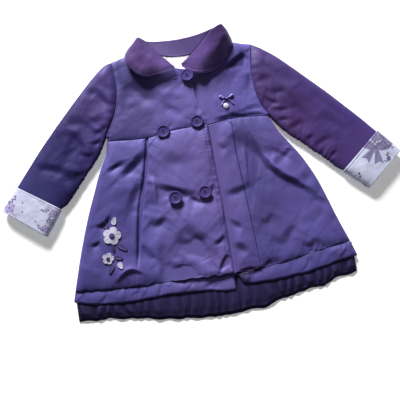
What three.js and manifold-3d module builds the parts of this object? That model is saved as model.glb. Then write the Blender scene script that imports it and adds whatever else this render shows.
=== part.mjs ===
// A toddler's padded, double-breasted coat, buttoned up and laid flat on its back.
// Units are millimetres. +X is to the right as the coat is looked at, +Y is towards the
// collar, +Z is up, and Z = 0 is the floor. The origin is on the floor under the centre
// back, level with the waist seam where it meets the side seams.
// "Right" and "left" in the names are the wearer's, so the right front is at -X and
// laps over the left one.
import * as THREE from 'three';
import { mergeVertices } from 'three/addons/utils/BufferGeometryUtils.js';
import Module from 'manifold-3d';

// Clearances and cloth
const SEAM_GAP = 0.3;
const REST_GAP = 0.35;
const HEM_GAP = 0.8;
const BACK_WALL = 5.0;
const SEAM_WALL = 3.8;
const PUFF_WALL = 7.6;
const LAP_WALL = 4.4;
const PUFF_REACH = 15;
const LAP_TO_X = 33;
const LAP_FADE = 18;
const YOKE_SEAT_REACH = 13;
const SKIRT_SEAT_REACH = 9;
const LINING_SEAT_REACH = 6;
const BAND_WALL = 1.6;
const RUFFLE_WALL = 1.0;
const COLLAR_WALL = 2.2;
const CUFF_WALL = 1.8;
const LINING_WALL = 0.8;
const APPLIQUE_WALL = 1.3;

// The side seams' rolled edge
const EDGE_REACH = 13;
const EDGE_STEP = 4;
const EDGE_FLOOR = 2.6;
const EDGE_FRONT = 1.3;
const BACK_EDGE_RATE = 1.6;

// The back collar lies under the back yoke, and lifts it
const COLLAR_LIFT = 2.7;
const LIFT_FROM_Y = 76;
const LIFT_TO_Y = 106;
const LIFT_HALF_WIDTH = 96;
const LIFT_FADE = 12;
const NECK_X = -3;

// Across the body, from side seam to side seam
const SIDE_ROWS = [
  { y: 6, right: -140, left: 128.5 },
  { y: -20, right: -144, left: 139 },
  { y: -40, right: -153, left: 151 },
  { y: -60, right: -162, left: 164 },
  { y: -80, right: -169.5, left: 175 },
  { y: -110, right: -181, left: 188 },
  { y: -140, right: -191, left: 197.5 },
  { y: -180, right: -203, left: 209 },
  { y: -220, right: -213.5, left: 222 },
  { y: -256, right: -222.5, left: 233 },
];

// Seams and edges that run across the coat: y for each x
const WAIST_ROWS = [
  { x: -142, front: -1, back: -1 },
  { x: -75, front: -5, back: 5 },
  { x: -30, front: 0.5, back: 9 },
  { x: 28, front: 3, back: 9 },
  { x: 75, front: 8, back: 6 },
  { x: 130, front: 4.5, back: 3 },
];
const HEM_ROWS = [
  { x: -224, seam: -235.5, right: -251, left: -251, ruffle: -277 },
  { x: -175, seam: -240, right: -262, left: -262, ruffle: -281 },
  { x: -120, seam: -242, right: -263.5, left: -263, ruffle: -287 },
  { x: -60, seam: -241.5, right: -261.5, left: -263, ruffle: -297 },
  { x: 0, seam: -243.5, right: -266, left: -262, ruffle: -301 },
  { x: 32, seam: -243, right: -269, left: -261, ruffle: -300 },
  { x: 75, seam: -242, right: -269, left: -263, ruffle: -296 },
  { x: 120, seam: -236, right: -266, left: -260.5, ruffle: -285 },
  { x: 170, seam: -227, right: -258, left: -254, ruffle: -276 },
  { x: 232, seam: -217.5, right: -244, left: -242, ruffle: -260 },
];

// Lines that run down the skirts: x for each y
const SKIRT_ROWS = [
  { y: 8, rightPleat: -73, lapStart: -51, frontEdge: 27, leftPleat: 66, underEdge: -46 },
  { y: -60, rightPleat: -86, lapStart: -51, frontEdge: 28, leftPleat: 66.5, underEdge: -46 },
  { y: -120, rightPleat: -101, lapStart: -51, frontEdge: 30, leftPleat: 69.5, underEdge: -46 },
  { y: -170, rightPleat: -109, lapStart: -51, frontEdge: 30.5, leftPleat: 72, underEdge: -46 },
  { y: -250, rightPleat: -122, lapStart: -51, frontEdge: 31, leftPleat: 75, underEdge: -46 },
];

// Each front skirt's pleat is a slot between two folds: how deep, and how wide, at each y
const PLEAT_ROWS = [
  { y: 8, rightDeep: 1.5, rightWide: 1.2, leftDeep: 1.5, leftWide: 1.0 },
  { y: -14, rightDeep: 4.5, rightWide: 1.6, leftDeep: 3.2, leftWide: 1.0 },
  { y: -90, rightDeep: 5.2, rightWide: 3.2, leftDeep: 3.6, leftWide: 1.3 },
  { y: -170, rightDeep: 4.6, rightWide: 3.0, leftDeep: 3.0, leftWide: 1.2 },
  { y: -205, rightDeep: 0.8, rightWide: 2.4, leftDeep: 2.4, leftWide: 1.1 },
  { y: -250, rightDeep: 0, rightWide: 2.0, leftDeep: 1.0, leftWide: 1.0 },
];
const PLEAT_SHOULDER = 6;
const PLEAT_SETTLE = 1.2;
const PLEAT_ENDS = { fromY: -230, toY: -190 };
const LEFT_PLEAT_STEP = 1.6;

// Edges of the yokes, from the waist upwards, and of the neck, from the shoulder inwards
const RIGHT_ARMHOLE = [
  [-140, 8], [-132, 25], [-123, 42], [-117, 64], [-114, 88], [-115, 112], [-118, 136.5],
];
const LEFT_ARMHOLE = [
  [127.5, 10], [120, 23], [115.5, 40], [113, 60], [112, 84], [115, 108], [121, 135],
];
const SIDE_SEAM_TOP = { right: -139.5, left: 128.5 };
const RIGHT_SHOULDER = [[-118, 136.5], [-98, 140.5], [-60, 150]];
const LEFT_SHOULDER = [[121, 135], [92, 141.5], [55, 151]];
const RIGHT_NECKLINE = [[-60, 150], [-52, 137], [-40, 124], [-25, 112], [-8, 104], [14, 99.5]];
const LEFT_NECKLINE = [[55, 151], [47, 138], [35, 125], [19, 112], [2, 104], [-12, 105], [-36, 115]];
const BACK_NECKLINE = [[-60, 150], [-47, 142], [-30, 134.5], [-6, 130.5], [18, 131.5], [38, 141], [55, 151]];
const FRONT_EDGE = [[27, 3], [25, 15], [20, 34], [15.5, 52], [14, 74], [14, 99.5]];
const UNDER_EDGE = [[-46, 0], [-44, 40], [-40, 80], [-36, 115]];

// Sleeves, flattened tubes: one row for each section from the armhole to the end
const SLEEVE_GAP = 3.0;
const ARMHOLE_GAP = 0.8;
const RIGHT_SLEEVE_ROWS = [
  { outer: [-118, 136.5], inner: [-140, 8], height: 11.5, bow: 1 },
  { outer: [-131, 131], inner: [-145, -3], height: 14.5, bow: 0.86 },
  { outer: [-152, 112], inner: [-151, -16], height: 15.5, bow: 0.55 },
  { outer: [-176, 86], inner: [-162, -33], height: 16, bow: 0.25 },
  { outer: [-201, 58], inner: [-176, -49], height: 15.5, bow: 0.08 },
  { outer: [-226, 29], inner: [-190, -67], height: 15, bow: 0 },
  { outer: [-250, 0], inner: [-204, -84], height: 14.5, bow: 0 },
  { outer: [-272, -29], inner: [-215, -96], height: 14, bow: 0 },
];
const RIGHT_CUFF_ROWS = [
  { outer: [-294, -56], inner: [-224, -104], height: 17.5 },
  { outer: [-302, -67.5], inner: [-232, -116], height: 18 },
  { outer: [-311, -80], inner: [-241, -130], height: 18 },
  { outer: [-319.5, -92], inner: [-251, -144.5], height: 17 },
];
const LEFT_SLEEVE_ROWS = [
  { outer: [121, 135], inner: [127.5, 10], height: 11.5, bow: 1 },
  { outer: [136, 125], inner: [137, -8], height: 14.5, bow: 0.86 },
  { outer: [158, 107], inner: [147.5, -23], height: 15.5, bow: 0.5 },
  { outer: [183, 82], inner: [163, -39], height: 16, bow: 0.22 },
  { outer: [208, 56], inner: [180, -55], height: 15.5, bow: 0.05 },
  { outer: [232, 31], inner: [196, -71], height: 15, bow: 0 },
  { outer: [255, 5], inner: [210, -84], height: 14.5, bow: 0 },
  { outer: [278, -21], inner: [221, -96], height: 14, bow: 0 },
];
const LEFT_CUFF_ROWS = [
  { outer: [301, -47], inner: [231, -107], height: 17.5 },
  { outer: [311, -59.5], inner: [243, -118], height: 18 },
  { outer: [321.5, -72.5], inner: [255.5, -129], height: 18 },
  { outer: [331.5, -85.5], inner: [267.5, -140.5], height: 17 },
];
const SLEEVE_SEAM_SHARE = 0.47;
const TOP_POWER = 3;
const BOTTOM_POWER = 10;
const RING_STEPS = 20;

// The collar: one row for each section, from the right front's tip round the back
// to the left front's. "mid" is the middle of the fall, and "edge" its free edge.
const COLLAR_ROWS = [
  { neck: [-17, 110], roll: [-12, 110, 23.5], mid: [-12, 107.5, 23], edge: [-13, 105, 22] },
  { neck: [-25, 114.5], roll: [-21, 118, 28], mid: [-23, 110, 27], edge: [-27, 100.5, 23.5] },
  { neck: [-34, 122], roll: [-31, 125, 32], mid: [-36, 113, 31], edge: [-43, 96, 24.5] },
  { neck: [-43, 131], roll: [-42, 135.5, 36], mid: [-49, 117, 34], edge: [-60, 94.5, 24.5] },
  { neck: [-51, 139], roll: [-52, 146, 38], mid: [-62, 126, 35.5], edge: [-76, 101, 24] },
  { neck: [-57, 146], roll: [-60, 153, 39], mid: [-73, 136, 34], edge: [-88, 116, 23] },
  { neck: [-59, 149.5], roll: [-66, 158, 38], mid: [-80, 146, 31], edge: [-93, 130, 20] },
  { neck: [-58, 150], roll: [-66, 158.5, 35], mid: [-78, 154, 24], edge: [-90, 147, 12] },
  {
    neck: [-54, 147.5], roll: [-62, 156, 31], mid: [-72, 157, 13],
    turn: [-80, 152, 1.1], edge: [-83, 149.5, 1.1]
  },
  {
    neck: [-45, 142.5], roll: [-50, 153, 27.5], mid: [-56, 157, 9],
    turn: [-63, 155, 1.1], edge: [-72, 132, 1.1]
  },
  {
    neck: [-29, 135.5], roll: [-34, 151.5, 25.5], mid: [-36, 155, 9],
    turn: [-38, 153, 1.1], edge: [-42, 112, 1.1]
  },
  {
    neck: [-6, 131.5], roll: [-6, 151, 24.5], mid: [-6, 154.5, 9],
    turn: [-6, 152, 1.1], edge: [-6, 108, 1.1]
  },
  {
    neck: [17, 132.5], roll: [22, 153, 25.5], mid: [25, 157, 9],
    turn: [27, 154.5, 1.1], edge: [32, 112, 1.1]
  },
  {
    neck: [37, 142], roll: [43, 156.5, 28], mid: [50, 160, 9],
    turn: [56, 157.5, 1.1], edge: [64, 132, 1.1]
  },
  {
    neck: [48, 149], roll: [59, 160, 32], mid: [68, 160.5, 13],
    turn: [73, 156, 1.1], edge: [77, 152.5, 1.1]
  },
  { neck: [53, 151], roll: [72, 162, 36], mid: [81, 157, 25], edge: [87, 150, 12] },
  { neck: [53.5, 149], roll: [69, 161, 39], mid: [80, 147, 32], edge: [89, 135, 20] },
  { neck: [49, 143], roll: [58, 155, 39], mid: [69, 139, 35], edge: [81, 122, 23] },
  { neck: [41.5, 134], roll: [48, 146, 37], mid: [58, 128, 34.5], edge: [70, 106, 24] },
  { neck: [33, 125.5], roll: [39, 137, 34.5], mid: [45, 119, 32.5], edge: [53, 94, 24.5] },
  { neck: [24.5, 118], roll: [28, 128.5, 31], mid: [31, 112, 30], edge: [35, 89.5, 24.5] },
  { neck: [16, 112], roll: [17, 120, 27.5], mid: [19, 108, 27], edge: [22, 91.5, 24] },
  { neck: [8, 108.5], roll: [7, 113.5, 24.5], mid: [8, 107, 24.6], edge: [9, 98, 23.8] },
  { neck: [2, 107], roll: [-1, 109.5, 23.5], mid: [-1, 107.5, 23], edge: [-1, 105.5, 22.8] },
];
const ROLL_RADIUS = 2.3;
const COLLAR_SEAT_REACH = 4;
const FALL_BULGE = 0.4;
const LINING_FROM_Y = 101;

// Buttons: centres of the five that fasten the right front over the left
const BUTTONS = [
  { name: 'button_neck', x: 5, y: 90 },
  { name: 'button_upper_right', x: -47, y: 0.5 },
  { name: 'button_upper_left', x: 10, y: 9.5 },
  { name: 'button_lower_right', x: -42.5, y: -112.5 },
  { name: 'button_lower_left', x: 5.5, y: -110 },
];
const BUTTON_RADIUS = 11;
const BUTTON_HEIGHT = 3.4;
const BUTTON_HOLE_RADIUS = 0.95;
const BUTTON_HOLE_OFFSET = 1.9;
const BUTTON_DIMPLE = { reach: 15, depth: 2.4 };

// Creases in the fronts and sleeves: soft troughs and ridges from one point to another
const YOKE_CREASES = [
  { from: [-100, 112], to: [-72, 84], reach: 6, rise: -2.0 },
  { from: [84, 124], to: [62, 98], reach: 5, rise: -2.6 },
  { from: [96, 118], to: [74, 92], reach: 7, rise: 1.6 },
  { from: [-60, 62], to: [-16, 20], reach: 10, rise: -1.5 },
  { from: [-84, 58], to: [-40, 22], reach: 11, rise: 1.3 },
  { from: [104, 84], to: [88, 50], reach: 7, rise: -1.5 },
  { from: [72, 14], to: [104, 22], reach: 7, rise: 1.8 },
];
const SKIRT_CREASES = [
  { from: [-84, -16], to: [-130, -66], reach: 7.5, rise: -3.4 },
  { from: [-100, -12], to: [-150, -52], reach: 6, rise: -1.8 },
  { from: [-92, -40], to: [-116, -112], reach: 9, rise: 2.2 },
  { from: [-166, -92], to: [-194, -106], reach: 6, rise: -2.8 },
  { from: [-116, -205], to: [-160, -218], reach: 6.5, rise: -3.2 },
  { from: [-150, -196], to: [-122, -222], reach: 8, rise: 1.6 },
  { from: [-66, -60], to: [-82, -228], reach: 6, rise: 2.0 },
  { from: [-76, -94], to: [-88, -112], reach: 8, rise: -2.0 },
  { from: [-74, -92], to: [-22, -102], reach: 7, rise: -2.4 },
  { from: [-30, -84], to: [20, -98], reach: 6, rise: -1.8 },
  { from: [-38, -140], to: [-72, -212], reach: 9, rise: -2.6 },
  { from: [-30, -138], to: [-14, -206], reach: 8, rise: -2.2 },
  { from: [-34, -150], to: [-42, -226], reach: 8, rise: 2.0 },
  { from: [8, -190], to: [20, -234], reach: 6, rise: -2.6 },
  { from: [112, -52], to: [186, -128], reach: 9, rise: -4.0 },
  { from: [128, -44], to: [190, -102], reach: 9, rise: 2.6 },
  { from: [92, -12], to: [112, -58], reach: 12, rise: -2.2 },
  { from: [36, -102], to: [68, -98], reach: 7, rise: -3.0 },
  { from: [38, -138], to: [62, -152], reach: 7, rise: -2.2 },
  { from: [42, -176], to: [66, -192], reach: 7, rise: -2.0 },
  { from: [118, -150], to: [150, -196], reach: 12, rise: 1.4 },
];
const MIN_WALL = 2.4;
const MIN_SLOT_WALL = 1.5;

// The ruffle round the lining's hem
const RUFFLE_WAVES = 28;
const RUFFLE_STEPS_PER_WAVE = 4;
const RUFFLE_RISE = 3.8;
const RUFFLE_HEM_RISE = 0.3;
const RUFFLE_SCALLOP = 2.6;
const RUFFLE_SPLIT_X = 34;
const RUFFLE_FROM_X = -225;
const RUFFLE_LONG = 450;

// Small ornaments: a ribbon bow with a round charm, and a sprig of flowers
const BOW = {
  x: 64.5, y: 42.5, loop: 10.5, loopX: 8, loopHigh: 2.6, tall: 7.5, knot: 3.6, knotHigh: 4,
  tail: 11, tailX: 7, tailHigh: 1.2, ribbon: 4.6,
};
const CHARM = { x: 61.5, y: 30.5, radius: 4.8, height: 3.4 };
const FLOWERS = [
  { name: 'applique_flower_large', x: -150, y: -158, radius: 15, heart: 4.5 },
  { name: 'applique_flower_small', x: -160, y: -193, radius: 9.5, heart: 3 },
];
const BUDS = [
  { name: 'applique_bud_upper', x: -144, y: -135, long: 6.5, wide: 4.5, lean: 1.2 },
  { name: 'applique_bud_lower', x: -142, y: -207, long: 6, wide: 4.2, lean: -1.1 },
];
const LEAVES = [
  { name: 'applique_leaf_1', x: -160, y: -138, long: 9, wide: 4, lean: 2.2 },
  { name: 'applique_leaf_2', x: -136, y: -178, long: 9.5, wide: 4.2, lean: -0.7 },
  { name: 'applique_leaf_3', x: -150, y: -178.5, long: 5.5, wide: 2.8, lean: -1.4 },
  { name: 'applique_leaf_4', x: -143, y: -194, long: 7, wide: 3.2, lean: -0.3 },
  { name: 'applique_leaf_5', x: -157, y: -210, long: 8, wide: 3.6, lean: -2.1 },
];

const clamp = THREE.MathUtils.clamp;
const lerp = THREE.MathUtils.lerp;
const smooth = (from, to, at) => THREE.MathUtils.smoothstep(at, Math.min(from, to), Math.max(from, to));

// A column of a table at a place between its rows, on a smooth curve through them
function column(rows, key, at, name) {
  const ordered = rows[0][key] < rows[rows.length - 1][key] ? rows : [...rows].reverse();
  const last = ordered.length - 1;
  let i = 0;
  while (i < last - 1 && at > ordered[i + 1][key]) i += 1;
  const a = ordered[i];
  const b = ordered[i + 1];
  const before = ordered[Math.max(i - 1, 0)];
  const after = ordered[Math.min(i + 2, last)];
  const step = b[key] - a[key];
  const t = clamp((at - a[key]) / step, 0, 1);
  const slopeA = i > 0 ? (b[name] - before[name]) / (b[key] - before[key]) : (b[name] - a[name]) / step;
  const slopeB = i + 2 <= last ? (after[name] - a[name]) / (after[key] - a[key]) : (b[name] - a[name]) / step;
  const t2 = t * t;
  const t3 = t2 * t;
  return (2 * t3 - 3 * t2 + 1) * a[name] + (t3 - 2 * t2 + t) * step * slopeA
    + (3 * t2 - 2 * t3) * b[name] + (t3 - t2) * step * slopeB;
}

const sideX = (side, y) => column(SIDE_ROWS, 'y', y, side);
const waistY = (panel, x) => column(WAIST_ROWS, 'x', x, panel);
const hemY = (line, x) => column(HEM_ROWS, 'x', x, line);
const skirtX = (line, y) => column(SKIRT_ROWS, 'y', y, line);
const pleatAt = (name, y) => column(PLEAT_ROWS, 'y', y, name);

// A smooth plane curve through points, read at 0 to 1 by its length
function outline(points) {
  const curve = new THREE.SplineCurve(points.map(([x, y]) => new THREE.Vector2(x, y)));
  return (t) => curve.getPointAt(clamp(t, 0, 1));
}

// Two outlines joined at a corner, which falls at the given share of the whole
function joined(first, second, share) {
  return (t) => (t <= share ? first(t / share) : second((t - share) / (1 - share)));
}

// The point at (u, v) of a patch between four edges that meet at its corners
function patchPoint(bottom, top, start, end, u, v) {
  const b = bottom(u);
  const t = top(u);
  const s = start(v);
  const e = end(v);
  const corners = [bottom(0), bottom(1), top(0), top(1)];
  const blend = (k) => (1 - v) * b[k] + v * t[k] + (1 - u) * s[k] + u * e[k]
    - (1 - u) * (1 - v) * corners[0][k] - u * (1 - v) * corners[1][k]
    - (1 - u) * v * corners[2][k] - u * v * corners[3][k];
  return [blend('x'), blend('y')];
}

// How far a point lies from a straight line between two points
function distanceToLine(x, y, from, to) {
  const dx = to[0] - from[0];
  const dy = to[1] - from[1];
  const along = clamp(((x - from[0]) * dx + (y - from[1]) * dy) / (dx * dx + dy * dy), 0, 1);
  return { along, away: Math.hypot(x - from[0] - dx * along, y - from[1] - dy * along) };
}

// The rise that a list of creases gives at a point: deepest at the middle of each
function creased(creases, x, y) {
  return creases.reduce((sum, { from, to, reach, rise }) => {
    const { along, away } = distanceToLine(x, y, from, to);
    const taper = 0.25 + 0.75 * Math.sin(Math.PI * along);
    return sum + rise * taper * Math.exp(-((away / reach) ** 2));
  }, 0);
}

// How much the sewn-on buttons pull the cloth down at a point
function dimpled(x, y) {
  return BUTTONS.reduce((sum, button) => {
    const away = Math.hypot(x - button.x, y - button.y);
    return sum - BUTTON_DIMPLE.depth * Math.exp(-((away / BUTTON_DIMPLE.reach) ** 2));
  }, 0);
}

// 0 at a rolled edge, 1 at EDGE_REACH or more inside it
const rolled = (inside) => Math.sqrt(1 - (1 - clamp(inside / EDGE_REACH, 0, 1)) ** 2);
// 0 at a seam, rising towards 1 away from it
const puffed = (away) => 1 - Math.exp(-Math.max(away, 0) / PUFF_REACH);

const lineY = (points, x) => {
  const [a, b] = x < Math.max(points[0][0], points[1][0]) && x > Math.min(points[0][0], points[1][0])
    ? [points[0], points[1]] : [points[1], points[2]];
  return lerp(a[1], b[1], clamp((x - a[0]) / (b[0] - a[0]), 0, 1));
};

// How far a point lies inside the coat's outer edge, for the rolled side and shoulder seams
function insideEdge(x, y) {
  const side = y < 6 ? Math.min(x - sideX('right', y), sideX('left', y) - x) : EDGE_REACH;
  const shoulder = lineY(x < NECK_X ? RIGHT_SHOULDER : LEFT_SHOULDER, x) - y;
  return Math.max(0, Math.min(side, y < 60 ? EDGE_REACH : shoulder));
}

// How far the back yoke is lifted by the collar folded under it
const collarLift = (x, y) => COLLAR_LIFT * smooth(LIFT_FROM_Y, LIFT_TO_Y, y)
  * (1 - smooth(LIFT_HALF_WIDTH, LIFT_HALF_WIDTH + LIFT_FADE, Math.abs(x - NECK_X)));

// The back's section at a point
function backSection(x, y) {
  const lift = collarLift(x, y);
  const low = lift + EDGE_FLOOR * (1 - rolled(insideEdge(x, y) * BACK_EDGE_RATE));
  return { x, y, low, high: lift + BACK_WALL };
}

// The height of a mesh's upper surface under a point, or null beside it
function heightOn(meshes, x, y) {
  const down = new THREE.Raycaster(new THREE.Vector3(x, y, 200), new THREE.Vector3(0, 0, -1));
  const hits = down.intersectObjects(meshes, false);
  return hits.length ? hits[0].point.z : null;
}

// The highest point of the cloth under a round footprint
function seatHeight(meshes, x, y, radius, fallback = BACK_WALL) {
  let highest = heightOn(meshes, x, y) ?? fallback;
  for (const share of [0.35, 0.7, 1]) {
    for (let k = 0; k < 12; k += 1) {
      const turn = (Math.PI * (k + share)) / 6;
      const z = heightOn(meshes, x + radius * share * Math.cos(turn), y + radius * share * Math.sin(turn));
      highest = Math.max(highest, z ?? 0);
    }
  }
  return highest;
}

// A front's section at a point: it lies on what is below it, and thins at the rolled edge
function frontSection(below, x, y, wall, reach) {
  const low = seatHeight(below, x, y, reach) + SEAM_GAP;
  return { x, y, low, high: low + lerp(EDGE_FRONT, wall, rolled(insideEdge(x, y))) };
}

// Padding of the yokes and skirts, thin at the seams and full between them
function yokeWall(x, y, awaySeam) {
  const full = lerp(SEAM_WALL, PUFF_WALL - 1.2, puffed(awaySeam));
  return Math.max(MIN_WALL, full + creased(YOKE_CREASES, x, y) + dimpled(x, y));
}
function skirtWall(x, y, awayEdge) {
  const away = Math.min(waistY('front', x) - y, (y - hemY('seam', x)) * 1.5, awayEdge);
  const full = lerp(SEAM_WALL, PUFF_WALL, puffed(away));
  return Math.max(MIN_WALL, full + creased(SKIRT_CREASES, x, y) + dimpled(x, y));
}
// The left front is plain and thin where the right one laps over it
const lappedWall = (x, wall) => lerp(LAP_WALL, wall, smooth(LAP_TO_X, LAP_TO_X + LAP_FADE, x));

// One closed body from a grid of sections, each with its place and its low and high points
function slab(columns, rows, section) {
  const across = columns + 1;
  const layer = across * (rows + 1);
  const sections = [];
  for (let j = 0; j <= rows; j += 1) {
    for (let i = 0; i <= columns; i += 1) sections.push(section(i, j));
  }
  const positions = [
    ...sections.flatMap(({ x, y, high }) => [x, y, high]),
    ...sections.flatMap(({ x, y, low }) => [x, y, low]),
  ];
  return facing(positions, slabIndex(across, rows, layer));
}

// The triangles of two layers of a grid and of the wall round their edge
function slabIndex(across, rows, layer) {
  const columns = across - 1;
  const index = [];
  const quad = (a, b, c, d) => index.push(a, b, c, a, c, d);
  for (let j = 0; j < rows; j += 1) {
    for (let i = 0; i < columns; i += 1) {
      const at = j * across + i;
      quad(at, at + 1, at + across + 1, at + across);
      quad(layer + at, layer + at + across, layer + at + across + 1, layer + at + 1);
    }
  }
  const rim = [];
  for (let i = 0; i < columns; i += 1) rim.push(i);
  for (let j = 0; j < rows; j += 1) rim.push(j * across + columns);
  for (let i = columns; i > 0; i -= 1) rim.push(rows * across + i);
  for (let j = rows; j > 0; j -= 1) rim.push(j * across);
  rim.forEach((at, k) => {
    const next = rim[(k + 1) % rim.length];
    quad(next, at, layer + at, layer + next);
  });
  return index;
}

// A closed body from a grid that wraps round both ways, such as a tube with a wall
function hoop(around, through, point) {
  const positions = [];
  const index = [];
  for (let k = 0; k < through; k += 1) {
    for (let i = 0; i < around; i += 1) positions.push(...point(i, k));
  }
  for (let k = 0; k < through; k += 1) {
    for (let i = 0; i < around; i += 1) {
      const a = k * around + i;
      const b = k * around + ((i + 1) % around);
      const c = ((k + 1) % through) * around + ((i + 1) % around);
      const d = ((k + 1) % through) * around + i;
      index.push(a, b, c, a, c, d);
    }
  }
  return facing(positions, index);
}

// Indexed triangles as a geometry, turned so that the faces point out
function facing(positions, index) {
  const at = (n) => new THREE.Vector3().fromArray(positions, n * 3);
  let volume = 0;
  for (let k = 0; k < index.length; k += 3) {
    volume += at(index[k]).dot(at(index[k + 1]).cross(at(index[k + 2])));
  }
  const turned = volume < 0 ? [...index].reverse() : index;
  const geometry = new THREE.BufferGeometry();
  geometry.setAttribute('position', new THREE.Float32BufferAttribute(positions, 3));
  geometry.setIndex(turned);
  geometry.computeVertexNormals();
  return geometry;
}

const COLOURS = {
  shell: { color: 0x54478f, roughness: 0.5 },
  sleeve: { color: 0x483878, roughness: 0.5 },
  collar: { color: 0x5b4380, roughness: 0.5 },
  ruffle: { color: 0x2a2150, roughness: 0.75 },
  print: { color: 0xd0cfe8, roughness: 0.8 },
  button: { color: 0x54417f, roughness: 0.3 },
  ribbon: { color: 0x2b1d5c, roughness: 0.4 },
  charm: { color: 0xd8d2ea, roughness: 0.2 },
  petal: { color: 0xc3bfd6, roughness: 0.8 },
  leaf: { color: 0x35295e, roughness: 0.6 },
};

const coat = new THREE.Group();

function piece(name, finish, geometry) {
  const material = new THREE.MeshStandardMaterial({ ...COLOURS[finish], metalness: 0 });
  const mesh = new THREE.Mesh(geometry, material);
  mesh.name = name;
  coat.add(mesh);
  mesh.updateMatrixWorld();
  return mesh;
}

// Yokes
const YOKE_LEVELS = [0, 0.065, 0.19, 0.34, 0.5, 0.66, 0.8, 0.9, 0.97, 1];
const YOKE_COLUMNS = 15;
const SHOULDER_SHARE = 6 / YOKE_COLUMNS;
const BACK_COLUMNS = 25;
const BACK_SHOULDER_COLUMNS = 6;
const BACK_NECK_SHARE = (BACK_COLUMNS - 2 * BACK_SHOULDER_COLUMNS) / (BACK_COLUMNS - BACK_SHOULDER_COLUMNS);
const YOKE_SIZE = { wide: 165, tall: 135 };

// A waist edge between two x, kept clear of the skirt by half the gap
function waistEdge(panel, fromX, toX) {
  return (u) => {
    const x = lerp(fromX, toX, u);
    return new THREE.Vector2(x, waistY(panel, x) + SEAM_GAP / 2);
  };
}

// A yoke's edge from the waist, up the side seam to the underarm, then up the armhole
function armholeEdge(panel, side, armhole) {
  const corner = waistEdge(panel, SIDE_SEAM_TOP[side], SIDE_SEAM_TOP[side])(0);
  const underarm = new THREE.Vector2(...armhole[0]);
  const seam = (t) => corner.clone().lerp(underarm, t);
  return joined(seam, outline(armhole), YOKE_LEVELS[1]);
}

function yoke(edges, columns, section) {
  return slab(columns, YOKE_LEVELS.length - 1, (i, j) => {
    const u = i / columns;
    const v = YOKE_LEVELS[j];
    const [x, y] = patchPoint(edges.bottom, edges.top, edges.start, edges.end, u, v);
    return section(x, y, u, v);
  });
}

function backYoke() {
  const otherShoulder = outline([...LEFT_SHOULDER].reverse());
  const edges = {
    bottom: waistEdge('back', SIDE_SEAM_TOP.right, SIDE_SEAM_TOP.left),
    top: joined(
      outline(RIGHT_SHOULDER),
      joined(outline(BACK_NECKLINE), otherShoulder, BACK_NECK_SHARE),
      BACK_SHOULDER_COLUMNS / BACK_COLUMNS,
    ),
    start: armholeEdge('back', 'right', RIGHT_ARMHOLE),
    end: armholeEdge('back', 'left', LEFT_ARMHOLE),
  };
  return yoke(edges, BACK_COLUMNS, backSection);
}

function rightYoke(below) {
  const edges = {
    bottom: waistEdge('front', SIDE_SEAM_TOP.right, 27),
    top: joined(outline(RIGHT_SHOULDER), outline(RIGHT_NECKLINE), SHOULDER_SHARE),
    start: armholeEdge('front', 'right', RIGHT_ARMHOLE),
    end: outline(FRONT_EDGE),
  };
  return yoke(edges, YOKE_COLUMNS, (x, y, u, v) => {
    const away = Math.min(u * YOKE_SIZE.wide, (1 - u) * YOKE_SIZE.wide * 2, v * YOKE_SIZE.tall,
      (1 - v) * YOKE_SIZE.tall);
    return frontSection(below, x, y, yokeWall(x, y, away), YOKE_SEAT_REACH);
  });
}

function leftYoke(below) {
  const edges = {
    bottom: waistEdge('front', -46, SIDE_SEAM_TOP.left),
    top: joined(
      outline([...LEFT_NECKLINE].reverse()),
      outline([...LEFT_SHOULDER].reverse()),
      1 - SHOULDER_SHARE,
    ),
    start: outline(UNDER_EDGE),
    end: armholeEdge('front', 'left', LEFT_ARMHOLE),
  };
  return yoke(edges, YOKE_COLUMNS, (x, y, u, v) => {
    const away = Math.min((1 - u) * YOKE_SIZE.wide, v * YOKE_SIZE.tall, (1 - v) * YOKE_SIZE.tall);
    return frontSection(below, x, y, lappedWall(x, yokeWall(x, y, away)), YOKE_SEAT_REACH);
  });
}

// Skirts. A skirt's columns are shared out between guide lines that run down it. A guide
// line and a level each depend on the other's place, so their crossing is found in passes.
const GUIDE_PASSES = 4;
const SKIRT_LEVELS = [0, 0.03, 0.08, 0.16, 0.26, 0.36, 0.46, 0.56, 0.66, 0.76, 0.86, 0.94, 0.98, 1];

function skirt(guides, columns, panel, section) {
  return slab(columns.length - 1, SKIRT_LEVELS.length - 1, (i, j) => {
    const v = SKIRT_LEVELS[j];
    const [guide, step] = columns[i];
    const next = Math.min(guide + 1, guides.length - 1);
    let x = 0;
    let y = lerp(hemY('seam', 0), 0, v);
    for (let pass = 0; pass < GUIDE_PASSES; pass += 1) {
      x = lerp(guides[guide](y), guides[next](y), step);
      y = lerp(hemY('seam', x) + HEM_GAP / 2, waistY(panel, x) - SEAM_GAP / 2, v);
    }
    return section(x, y);
  });
}

// A line beside a skirt's fold, offset by a share of the fold's width
const besidePleat = (front, share) => (y) => skirtX(`${front}Pleat`, y) + share * pleatAt(`${front}Wide`, y);
const nearPleat = (front, offset) => (y) => skirtX(`${front}Pleat`, y) + offset;
const nearSide = (side, offset) => (y) => sideX(side, y) + offset;

// How deep a pleat's slot is at a point, with the soft hollow round it
function slotDepth(front, x, y) {
  const away = x - skirtX(`${front}Pleat`, y);
  const half = pleatAt(`${front}Wide`, y) / 2;
  const inside = 1 - smooth(half * 0.9, half * 1.5 + 0.3, Math.abs(away));
  const settle = PLEAT_SETTLE * Math.exp(-((away / PLEAT_SHOULDER) ** 2));
  return pleatAt(`${front}Deep`, y) * inside + settle * smooth(PLEAT_ENDS.fromY, PLEAT_ENDS.toY, y);
}

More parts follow.
